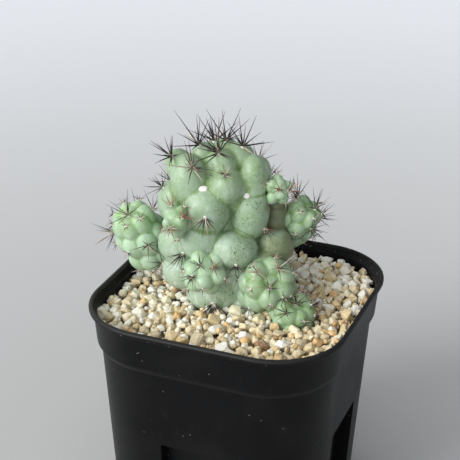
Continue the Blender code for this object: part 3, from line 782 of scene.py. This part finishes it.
def wrinkle(obj):
    """Presses level creases into the skin of the tubercles that have them."""
    points, normals, _ = read_mesh(obj)
    back = np.array(Matrix.Rotation(-PLANT_TURN, 3, "Z"))
    local = points @ back.T / MM - np.array((0, 0, GRAVEL_TOP))
    tubercles = {name: row for lump in MAIN_LUMPS for name, row in lump.items()}
    for name, up, depth, half in WRINKLES:
        place, radii, _ = tubercles[name]
        across = (local[:, 0] - place[0]) / (radii[0] * 1.05)
        deep = (local[:, 1] - place[1] + radii[1] * 0.35) / (radii[1] * 1.05)
        near = np.clip(1.25 - across**2 - deep**2, 0, 1)
        sag = up - 0.5 * across**2
        groove = np.exp(-(((local[:, 2] - sag) / half) ** 2))
        points = points - normals * (depth * MM * groove * np.sqrt(near))[:, None]
    obj.data.vertices.foreach_set("co", points.ravel())
    obj.data.update()


# Freckled patches of the old stem: (across, deep, up) and radius.
FRECKLED = (
    ((-5.6, -3.0, 35.0), 5.0),
    ((2.8, -2.0, 34.0), 6.5),
    ((0.8, -6.0, 21.5), 5.5),
    ((10.5, -1.5, 20.0), 6.0),
    ((-4.6, -5.0, 5.5), 4.0),
    ((-9.0, -7.0, 1.5), 4.0),
    ((6.0, 1.0, 46.0), 4.0),
    ((-12.0, 26.0, 32.0), 9.0),
    ((6.0, 27.0, 18.0), 8.0),
)
# Corky, browned patches of it; those on the waist, hip and knuckle, on the side away from the light,
# are also painted shade.
CORK_AND_SHADE_PATCHES = (
    ((12.5, 8.0, 27.0), 8.0),
    ((12.0, -1.0, 18.0), 7.0),
    ((16.5, 2.0, 20.0), 6.0),
    ((7.6, 2.0, 34.0), 3.0),
    ((2.0, 34.0, 8.0), 9.0),
    ((-24.0, 24.0, 8.0), 8.0),
)
# The height above the gravel where the skin starts to be young, and over how much it turns so.
TENDER_FROM = 32
TENDER_OVER = 14


def mark_patches(obj, name, patches):
    """Stores how far into a patch each point is."""
    points = read_mesh(obj)[0]
    values = np.zeros(len(points))
    for place, radius in patches:
        away = np.linalg.norm(points - np.array(plant_point(*place)), axis=1)
        values = np.maximum(values, np.clip(1.3 - away / (radius * MM), 0, 1))
    put_values(obj, name, values)


def stem_skin(name, bloom, flesh, tender_flesh, freckles, haze_and_light):
    """Waxy bloom over green flesh: greener and darker at growing tips and in the folds, where the
    darkening is partly painted shade, with pin-point freckles in patches, and with as much of a pale
    haze low down, partly real bloom and partly painted light, as `haze_and_light` says."""
    material, start, where, surface = new_finish(
        name, subsurface_weight=0.12, subsurface_scale=0.002, specular_ior_level=0.45
    )
    surface.inputs["Subsurface Radius"].default_value = (0.45, 1.0, 0.30)
    fold = start.node("Attribute", output=2, attribute_name="fold")
    tender = start.node("Attribute", output=2, attribute_name="tender")
    cloud = mottle(start, where, 130.0, 5.0, 0.6)
    fine = mottle(start, where, 900.0, 5.0, 0.6)
    rubbed = fade(cloud + fine * 0.35, 0.62, 0.92)
    blotches = mottle(start, where, 210.0, 4.0, 0.6)
    worn_bloom = tuple(c * k for c, k in zip(bloom, (0.84, 0.90, 0.76)))
    bloom = mixed(fade(blotches, 0.36, 0.64), bloom, worn_bloom)
    green = mixed(tender, flesh, tender_flesh)
    thin = fade(mottle(start, where, 85.0, 3.0), 0.48, 0.66)
    # Painted shade: the folds turn darker green, partly where the bloom is thin and partly for the
    # shade that falls in them.
    fold_green_and_shade = fade(fold + cloud * 0.7, 0.35, 1.05)
    bare = fold_green_and_shade * 0.74 + tender * 0.38 + rubbed * 0.34 + thin * 0.24
    base = mixed(fade(bare, 0.0, 1.0), bloom, green)
    height = start.node("SeparateXYZ", {"Vector": where}, output=2)
    # Painted light: the skin low on the stem is paled, partly a real haze of bloom and partly to
    # lighten the low, downward-facing parts that get little light.
    low = (1 - fade(height + blotches * 0.012, 0.092, 0.110)) * haze_and_light
    upright = start.node("Mapping", {"Vector": where, "Scale": (1.0, 1.0, 0.28)})
    streaks = fade(mottle(start, upright, 620.0, 5.0, 0.65), 0.50, 0.64)
    pale = fade(fine + blotches * 0.4, 0.72, 0.92) * 0.30 + streaks * (low * 0.36 + 0.18)
    base = mixed(pale + low * 0.24, base, (0.60, 0.69, 0.60))
    cork_and_shade = start.node("Attribute", output=2, attribute_name="cork_and_shade")
    # Cork colour, which on the right side of the stem is also painted shade.
    cork_and_shade_tint = mixed(cloud, (0.11, 0.12, 0.045), (0.22, 0.225, 0.11))
    base = mixed(fade(cork_and_shade + cloud * 0.5, 0.45, 1.05) * 0.82, base, cork_and_shade_tint)
    aged = start.node("Attribute", output=2, attribute_name="aged")
    patches = fade(aged + mottle(start, where, 260.0, 3.0) * 0.7, 0.55, 0.95)
    base = mixed(patches * 0.30, base, flesh)
    drift = start.node("TexNoise", {"Vector": where, "Scale": 900.0}, output=1)
    shaken = start.node("VectorMath", {0: drift, "Scale": 0.0012}, operation="SCALE")
    shaken = start.node("VectorMath", {0: where, 1: shaken}, operation="ADD")
    long_cells = start.node("Mapping", {"Vector": shaken, "Scale": (1.0, 1.0, 0.6)})
    for scale, share, size in ((950.0, 0.58, 0.29), (1800.0, 0.50, 0.34)):
        cells = start.node("TexVoronoi", {"Vector": long_cells, "Scale": scale}, output=0)
        lot = start.node("TexVoronoi", {"Vector": long_cells, "Scale": scale}, output=1)
        chance = start.node("SeparateColor", {"Color": lot})
        spots = (1 - fade(cells, size * 0.5, size)) * (chance > share)
        base = mixed(spots * fade(patches, 0.35, 0.75) * freckles, base, (0.065, 0.115, 0.04))
    feed(surface, base_color=base, roughness=rubbed * -0.10 + (tender * -0.06 + 0.45))
    feed(surface, normal=bumped(fine * 0.5 + cloud, 0.16, 0.00018))
    return material


main_stem = make_main_stem()
wrinkle(main_stem)
mark_patches(main_stem, "aged", FRECKLED)
mark_patches(main_stem, "cork_and_shade", CORK_AND_SHADE_PATCHES)
mark_folds(main_stem, 40, 0.30)
main_points = read_mesh(main_stem)[0]
above_gravel = main_points[:, 2] / MM - GRAVEL_TOP
put_values(main_stem, "tender", np.clip((above_gravel - TENDER_FROM) / TENDER_OVER, 0, 1))
old_skin = stem_skin(
    "bloomed_skin", (0.35, 0.46, 0.345), (0.15, 0.25, 0.09), (0.25, 0.37, 0.165), 0.9, 1.0
)
paint(main_stem, old_skin)
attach(main_stem, "root")
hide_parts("main_stem")

# ---- The offsets ----
# Seven young stems sprout from the old one and start their own rings of tubercles round a
# growing tip. Their skin is fresher and greener; three of them have more bloom than the rest.

# Centre, half width, half height, the way the tip points, ribs, twist, how bold the tubercles
# are, and the levels of their rings.
OFFSETS = {
    "left": ((-33.8, 11.5, 18.4), 9.2, 14.0, (-0.40, -0.25, 0.88), 7, 10, 0.3, (-0.56, 0.06, 0.62)),
    "left_bud": ((-21.2, -3.8, 31.0), 5.2, 6.8, (-0.25, -0.55, 0.80), 4, 20, 0.6, (-0.3, 0.4)),
    "front_left": ((-11.8, -5.8, 13.6), 7.6, 7.4, (0.10, -0.72, 0.68), 5, 0, 1.0, (-0.4, 0.3)),
    "front_right": ((9.3, -5.8, 8.4), 10.0, 9.8, (0.20, -0.75, 0.62), 6, 15, 0.9, (-0.5, 0.05, 0.56)),
    "ground": ((18.3, -13.4, 1.6), 8.0, 5.4, (0.20, -0.25, 0.95), 8, 5, 0.6, (-0.3, 0.45)),
    "right_bud": ((12.4, 5.4, 39.0), 4.8, 6.0, (0.30, -0.45, 0.84), 4, 30, 0.9, (-0.35, 0.35)),
    "right": ((20.2, 12.4, 24.0), 6.9, 10.4, (0.42, -0.34, 0.84), 6, 0, 1.0, (-0.55, 0.05, 0.6)),
}
OFFSET_GRAIN = 0.3
OFFSET_SOFTENING = 7


def offset_axes(key):
    tip, twist = OFFSETS[key][3], OFFSETS[key][5]
    upright = plant_direction(*tip).to_track_quat("Z", "Y").to_matrix()
    return upright @ Matrix.Rotation(radians(twist), 3, "Z")


def offset_knobs(key):
    """(centre, half sizes, axes) of each tubercle, in rings round the growing tip."""
    place, half_width, half_height, _, ribs, _, bold, levels = OFFSETS[key]
    centre, axes = plant_point(*place), offset_axes(key)
    chance = Random(key)
    for ring, level in enumerate(levels):
        reach = 0.60 * (1 - 0.85 * level**2) ** 0.5
        swell = (0.42 + 0.05 * bold) * (1 - 0.22 * max(level, 0))
        for rib in range(ribs):
            angle = 2 * pi * (rib + 0.5 * ring + chance.uniform(-0.07, 0.07)) / ribs
            out = reach * half_width * chance.uniform(0.96, 1.03)
            local = Vector((out * cos(angle), out * sin(angle), level * half_height * 0.86))
            size = swell * half_width * chance.uniform(0.94, 1.05)
            tall = size * min(max(half_height / half_width, 1), 1.3)
            spin = axes @ Matrix.Rotation(angle, 3, "Z")
            yield centre + axes @ local * MM, (size, size * 0.97, tall), spin


def make_offset(key):
    place, half_width, half_height, tip, _, _, bold, _ = OFFSETS[key]
    centre, axes = plant_point(*place), offset_axes(key)
    girth = half_width * (0.90 - 0.18 * bold)
    balls = [swelling(centre, (girth, girth, half_height * (0.92 - 0.12 * bold)), axes)]
    balls += [swelling(*knob) for knob in offset_knobs(key)]
    stem = softened(joined(balls, "stem_" + key), OFFSET_GRAIN, OFFSET_SOFTENING)
    uneven(stem, (5.0, 0.3))
    mark_folds(stem, 30, 0.22)
    points = read_mesh(stem)[0]
    towards = (points - np.array(centre)) @ np.array(plant_direction(*tip)) / (half_height * MM)
    put_values(stem, "tender", np.clip((towards - 0.1) / 0.8, 0, 1))
    put_values(stem, "aged", np.zeros(len(points)))
    put_values(stem, "cork_and_shade", np.zeros(len(points)))
    return stem


young_skin = stem_skin(
    "young_skin", (0.345, 0.475, 0.33), (0.13, 0.26, 0.08), (0.26, 0.42, 0.145), 0.45, 0.1
)
dusted_skin = stem_skin(
    "dusted_young_skin", (0.42, 0.59, 0.41), (0.19, 0.34, 0.13), (0.31, 0.48, 0.20), 0.45, 0.5
)
OFFSET_SKINS = {
    "left": dusted_skin,
    "front_left": dusted_skin,
    "right_bud": dusted_skin,
}
offsets = {key: make_offset(key) for key in OFFSETS}
for key, offset in offsets.items():
    paint(offset, OFFSET_SKINS.get(key, young_skin))
    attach(offset, "root")
    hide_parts("offset_" + key)

# ---- The areoles and their spines ----
# Each areole is a cushion of white felt with a star of stiff spines standing in it. Spines of
# the crown are near black with a pale foot; on the young stems they are thinner and browner.
AREOLE_RADIUS = 0.95
SPINE_FOOT = 0.28
# How thick a spine's foot is beside a crown spine's: in a hanging fan, and on the young stems.
FAN_FOOT = 0.8
SLIM_FOOT = 0.68
# Spines added to those of the frame, and the shortest one that is kept.
EXTRA_SPINES = 3
CROWN_SPINES = 5
SHORTEST_SPINE = 1.6


def model_spine():
    """A spine one unit long: a six-sided cone in three lengths, bowed a little."""
    deselect()
    bpy.ops.mesh.primitive_cone_add(
        vertices=6, radius1=1, radius2=0.16, depth=1, location=(0, 0, 0.5)
    )
    spine = placed(bpy.context.object)
    bpy.ops.object.mode_set(mode="EDIT")
    for height in (0.3, 0.65):
        bpy.ops.mesh.select_all(action="SELECT")
        bpy.ops.mesh.bisect(plane_co=(0, 0, height), plane_no=(0, 0, 1))
    bpy.ops.object.mode_set(mode="OBJECT")
    along = np.array([v.co.z for v in spine.data.vertices])
    for vert in spine.data.vertices:
        vert.co.x += 0.35 * sin(vert.co.z * pi)
    put_values(spine, "along", along)
    put_values(spine, "tone", np.zeros(len(along)))
    pick(spine)
    bpy.ops.object.shade_smooth()
    return spine


def model_felt():
    """A low cushion of felt with a lumpy surface."""
    deselect()
    bpy.ops.mesh.primitive_ico_sphere_add(subdivisions=3, radius=1, scale=(1, 1, 0.62))
    felt = placed(bpy.context.object)
    texture = bpy.data.textures.new("felt", "CLOUDS")
    texture.noise_scale = 0.35
    finished_with(felt, "DISPLACE", texture=texture, strength=0.5, texture_coords="LOCAL")
    count = len(felt.data.vertices)
    put_values(felt, "along", np.zeros(count))
    put_values(felt, "tone", np.zeros(count))
    pick(felt)
    bpy.ops.object.shade_smooth()
    return felt


def spine_horn():
    """Dark horn with a pale foot; its tone runs from near black to chestnut and straw."""
    material, start, where, surface = new_finish("spine_horn", roughness=0.42)
    along = start.node("Attribute", output=2, attribute_name="along")
    tone = start.node("Attribute", output=2, attribute_name="tone")
    shades = tone.node(
        "ValToRGB",
        {"Fac": tone},
        stops=(
            (0.0, (0.014, 0.011, 0.014)),
            (0.40, (0.050, 0.028, 0.026)),
            (0.62, (0.16, 0.065, 0.040)),
            (0.76, (0.46, 0.15, 0.075)),
            (0.86, (0.36, 0.22, 0.14)),
            (1.0, (0.62, 0.55, 0.44)),
        ),
    )
    pale_foot = 1 - fade(along - tone * 0.25, 0.05, 0.18)
    base = mixed(pale_foot, shades, (0.62, 0.55, 0.44))
    base = mixed(fade(along, 0.5, 1.0) * 0.25, base, (0.09, 0.07, 0.075))
    feed(surface, base_color=base)
    return material


FELT_COLOURS = ((0.74, 0.72, 0.65), (0.92, 0.91, 0.88))
FELT_PLAIN = {"roughness": 0.95, "sheen_weight": 0.4}
horn = spine_horn()
felt_finish = crumbly(
    "white_felt", (3500.0, 4.0, 0.7), 0.3, *FELT_COLOURS, (0.5, 0.0002), **FELT_PLAIN
)
spine_master, felt_master = model_spine(), model_felt()
paint(spine_master, horn)
paint(felt_master, felt_finish)


def copy_at(master, place):
    twin = master.copy()
    twin.data = master.data.copy()
    twin.matrix_world = place
    bpy.context.collection.objects.link(twin)
    return twin


def turned_along(way, chance):
    """Axes with Z along `way`, turned about it by chance."""
    spin = Matrix.Rotation(chance.uniform(0, 2 * pi), 3, "Z")
    return way.to_track_quat("Z", "Y").to_matrix() @ spin


def add_spine(root, way, length, foot, tone, chance):
    turn = turned_along(way, chance)
    size = Matrix.Diagonal((foot * MM, foot * MM, length * MM, 1))
    spine = copy_at(spine_master, Matrix.Translation(root) @ turn.to_4x4() @ size)
    value = min(max(tone + chance.uniform(-0.14, 0.14), 0), 1)
    spine.data.attributes["tone"].data.foreach_set("value", [value] * len(spine.data.vertices))
    return spine


def add_felt(root, normal, radius, chance):
    turn = turned_along(normal, chance)
    place = Matrix.Translation(root - normal * radius * 0.12 * MM) @ turn.to_4x4()
    return copy_at(felt_master, place @ Matrix.Scale(radius * MM, 4))


def star_ways(normal, count, flare, chance):
    """Directions of `count` spines round an areole, `flare` from upright, in turn."""
    across = normal.orthogonal().normalized()
    for i in range(count):
        angle = 2 * pi * (i + chance.uniform(-0.3, 0.3)) / count
        side = Matrix.Rotation(angle, 3, normal) @ across
        lean = radians(flare + chance.uniform(-12, 12))
        yield (normal * cos(lean) + side * sin(lean)).normalized()


stem_pieces = [main_stem, *offsets.values()]
skins = surface_of(stem_pieces)
# For clusters by the start of their names: how brown their spines are, how long beside those
# of the frame, and how many of them are pale.
TONES = (
    ("left_bud", 0.66),
    ("front_left_3", 0.62),
    ("front_left", 0.30),
    ("front_right", 0.30),
    ("brow", 0.42),
    ("ridge", 0.45),
    ("right_bud", 0.50),
    ("hip", 0.50),
    ("left", 0.25),
    ("crown", 0.06),
)
LENGTHS = (
    ("crown", 1.14),
    ("brow", 1.25),
    ("ridge", 0.90),
    ("left_bud", 1.05),
    ("left", 1.45),
    ("right_bud", 1.25),
    ("right", 1.30),
    ("front_left", 0.92),
)
PALE_SHARES = (
    ("left_bud", 0.40),
    ("right_bud", 0.55),
    ("front_right_1", 0.75),
    ("front_right_2", 0.75),
    ("brow", 0.20),
    ("crown", 0.10),
    ("left", 0.20),
    ("front", 0.20),
)
# Clusters with a tuft of short red-brown new spines in the middle.
SPROUTING = ("left_bud_1", "left_bud_2", "front_left_3", "front_right_2", "right_bud_1")
NEW_SPINE_LENGTHS = (1.2, 1.9)
NEW_SPINE_FOOT = 0.34
NEW_SPINE_TONE = 0.76
# A spine this far along the tones is pale.
PALE_TONE = 0.92
# Clusters whose spines hang in a fan: the shortest and longest spine, how far the fan is
# turned to the left, how far it spreads to each side, and how far it stands off the skin.
FANS = {
    "cheek": (4.0, 8.4, 0, 62, 0.36),
    "flank": (5.0, 10.0, 34, 62, 0.40),
    "lap": (7.0, 11.0, 0, 90, 0.85),
    "belly": (2.8, 5.0, 0, 62, 0.45),
}
FAN_SPINES = 10


def fan_ways(normal, shortest, longest, tilt, spread, stand_off, chance):
    """The direction and the length of each spine of a hanging fan."""
    down = (Vector((0, 0, -1)) + normal * normal.z).normalized()
    side = down.cross(normal)
    for i in range(FAN_SPINES):
        angle = radians(tilt + (2 * i / (FAN_SPINES - 1) - 1) * spread + chance.uniform(-7, 7))
        lift = stand_off * chance.uniform(0.6, 1.4)
        way = (down * cos(angle) + side * sin(angle) + normal * lift).normalized()
        yield way, chance.uniform(shortest, longest)


def of_cluster(key, table, otherwise):
    return next((value for start, value in table if key.startswith(start)), otherwise)


def clear_length(root, way, length):
    """How long a spine can be before it runs into a stem, or 0."""
    hit = skins.ray_cast(root + way * 0.9 * MM, way, length * MM)[3]
    return length if hit is None else max(hit / MM + 0.4, 0)


def cluster_of(node):
    """The centre of a cluster in the frame, and the tips of its spines."""
    points = {tuple(round(c, 6) for c in v.co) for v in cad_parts[node].data.vertices}
    points = np.array(sorted(points))
    middle = np.median(points, axis=0)
    centre = points[np.linalg.norm(points - middle, axis=1) < 1.0 * MM].mean(axis=0)
    tips = points[np.linalg.norm(points - centre, axis=1) > 1.3 * MM]
    return Vector(centre), [Vector(tip) for tip in tips]


areoles = []
for node in sorted(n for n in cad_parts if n.startswith("spines_")):
    key = node.removeprefix("spines_")
    chance = Random(node)
    centre, tips = cluster_of(node)
    root, normal, _, _ = skins.find_nearest(centre)
    areoles.append(root)
    tone, longer = of_cluster(key, TONES, 0.12), of_cluster(key, LENGTHS, 1.0)
    pale = of_cluster(key, PALE_SHARES, 0.08)
    crown = key.startswith(("crown", "brow", "temple_top"))
    foot = SPINE_FOOT if crown else SPINE_FOOT * (FAN_FOOT if key in FANS else SLIM_FOOT)
    parts = [add_felt(root, normal, AREOLE_RADIUS * (0.9 if crown else 0.6), chance)]
    base = root + normal * 0.15 * MM
    if key in FANS:
        ways = list(fan_ways(normal, *FANS[key], chance))
    else:
        ways = [((tip - base).normalized(), (tip - base).length / MM) for tip in tips]
        typical = sum(length for _, length in ways) / len(ways)
        more = CROWN_SPINES if crown else EXTRA_SPINES
        for way in star_ways(normal, more, 56 if crown else 60, chance):
            ways.append((way, typical * chance.uniform(0.5, 0.9)))
    for way, length in ways:
        length = clear_length(base, way, length * longer * chance.uniform(0.8, 1.12))
        if length > SHORTEST_SPINE:
            shade = PALE_TONE if chance.random() < pale else tone
            parts.append(add_spine(base, way, length, foot, shade, chance))
    if key in SPROUTING:
        for way in star_ways(normal, 7, 24, chance):
            length = chance.uniform(*NEW_SPINE_LENGTHS)
            parts.append(add_spine(base, way, length, NEW_SPINE_FOOT, NEW_SPINE_TONE, chance))
    cluster = joined(parts, "cluster_" + key)
    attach(cluster, "root")
    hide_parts(node)


# The small areoles: radius, how many spines, their lengths, their foot, and how many are pale.
MINOR_AREOLE = 0.55
MINOR_SPINES = 7
MINOR_LENGTHS = (2.2, 3.6)
MINOR_FOOT = 0.15
MINOR_PALE_SHARE = 0.35
# How far apart two areoles are at least.
AREOLE_SPACING = 2.6


def minor_areoles():
    """The tips of the offsets' tubercles that carry no full cluster."""
    for key, stem in offsets.items():
        skin = surface_of([stem])
        place = plant_point(*OFFSETS[key][0])
        for centre, radii, _ in offset_knobs(key):
            out = (centre - place).normalized()
            root, normal, _, _ = skin.ray_cast(centre + out * 12 * MM, -out)
            if root is None:
                continue
            if min((root - other).length for other in areoles) < AREOLE_SPACING * MM:
                continue
            nearest, nearest_normal, _, _ = skins.find_nearest(root + normal * 0.5 * MM)
            if (nearest - root).length > 0.8 * MM or root.z < GRAVEL_TOP * MM:
                continue
            if (root + normal * 0.5 * MM - nearest).dot(nearest_normal) < 0:
                continue
            areoles.append(root)
            yield key, root, normal


minor = {key: [] for key in OFFSETS}
for key, root, normal in minor_areoles():
    chance = Random(f"{key} {len(minor[key])}")
    minor[key].append(add_felt(root, normal, MINOR_AREOLE, chance))
    for way in star_ways(normal, MINOR_SPINES, 55, chance):
        length = clear_length(root, way, chance.uniform(*MINOR_LENGTHS))
        if length > SHORTEST_SPINE:
            pale = chance.random() < MINOR_PALE_SHARE
            tone = PALE_TONE if pale else of_cluster(key, TONES, 0.3)
            minor[key].append(add_spine(root, way, length, MINOR_FOOT, tone, chance))
for key, parts in minor.items():
    if parts:
        small = joined(parts, "small_clusters_" + key)
        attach(small, "root")

# Bare areoles of the old stem, felt with no spines: place in the plant's frame, radius, and how
# far its two cushions stand apart.
BARE_AREOLES = {
    "cheek": ((-12.5, -1.4, 42.0), 1.2, 0.8),
    "column": ((2.0, 0.8, 38.6), 1.1, 0.3),
}
for key, (place, radius, apart) in BARE_AREOLES.items():
    cushions = []
    for side in (-0.5, 0.5):
        beside = plant_point(place[0] + side * apart, *place[1:])
        root, normal, _, _ = skins.find_nearest(beside)
        cushions.append(add_felt(root, normal, radius, Random(key)))
    bare = joined(cushions, "bare_areole_" + key)
    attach(bare, "root")
discard(spine_master, felt_master)

# ---- The studio ----
# A pale floor, painted darker near the pot as a shadow, a big soft light from the front left, a
# weak one bounced from the front, a dome brighter on the left, and the camera a little right of
# the pot's front, looking down on it.
FLOOR_RADIUS = 4.0


def floor_with_painted_shadow():
    material, start, where, surface = new_finish("floor_with_painted_shadow", roughness=0.9)
    away = start.node("VectorMath", {0: where}, output=1, operation="LENGTH")
    # Painted shadow: the floor is darker close to the pot and pales further out.
    base = mixed(fade(away, 0.05, 0.75), (0.52, 0.52, 0.51), (0.82, 0.84, 0.87))
    feed(surface, base_color=base)
    return material


deselect()
bpy.ops.mesh.primitive_circle_add(vertices=96, radius=FLOOR_RADIUS, fill_type="NGON")
floor = placed(bpy.context.object, "floor")
floor.data.transform(Matrix.Translation((0, 0, -0.0002)))
paint(floor, floor_with_painted_shadow())
floor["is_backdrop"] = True
# Strength, width in degrees, colour, and where the light comes from.
LIGHTS = {
    "window": (2.5, 34, (1.0, 0.985, 0.96), (-0.58, -0.82, 0.46)),
    "front_bounce": (0.65, 60, (1.0, 1.0, 0.98), (0.05, -0.98, 0.16)),
}
for name, (strength, width, colour, source) in LIGHTS.items():
    lamp = bpy.data.lights.new(name, "SUN")
    lamp.energy = strength
    lamp.angle = radians(width)
    lamp.color = colour
    light = bpy.data.objects.new(name, lamp)
    light.rotation_euler = Vector(source).to_track_quat("Z", "Y").to_euler()
    bpy.context.scene.collection.objects.link(light)
world = bpy.data.worlds.new("studio")
world.use_nodes = True
dome = world.node_tree.nodes["Background"]
dome.inputs["Color"].default_value = (0.92, 0.95, 1.0, 1)
sky = Value(world.node_tree)
ray = sky.node("TexCoord", output=0)
bright_side = Vector((-0.74, -0.56, 0.40)).normalized()
facing = sky.node("VectorMath", {0: ray, 1: bright_side}, output=1, operation="DOT_PRODUCT")
glow = fade(facing, -0.9, 1.0) * 0.86 + 0.10
world.node_tree.links.new(glow.socket, dome.inputs["Strength"])
bpy.context.scene.world = world

camera = bpy.data.objects.new("camera", bpy.data.cameras.new("camera"))
camera.data.sensor_width = 36.0
camera.data.lens = 106.37
camera.data.clip_start = 0.01
sight = Vector((-0.33201, 0.84249, -0.42424))
upright = Vector((-0.16549, 0.39075, 0.90550))
right = sight.cross(upright).normalized()
upright = right.cross(sight).normalized()
axes = Matrix((right, upright, -sight.normalized())).transposed().to_4x4()
camera.matrix_world = Matrix.Translation((0.149616, -0.389143, 0.296590)) @ axes
bpy.context.scene.collection.objects.link(camera)
bpy.context.scene.camera = camera
bpy.context.scene.view_settings.view_transform = "Standard"

visual_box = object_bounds()
boxes = {"cad": cad_box, "visual": visual_box}
{k: [list(corner) for corner in v] for k, v in boxes.items()}
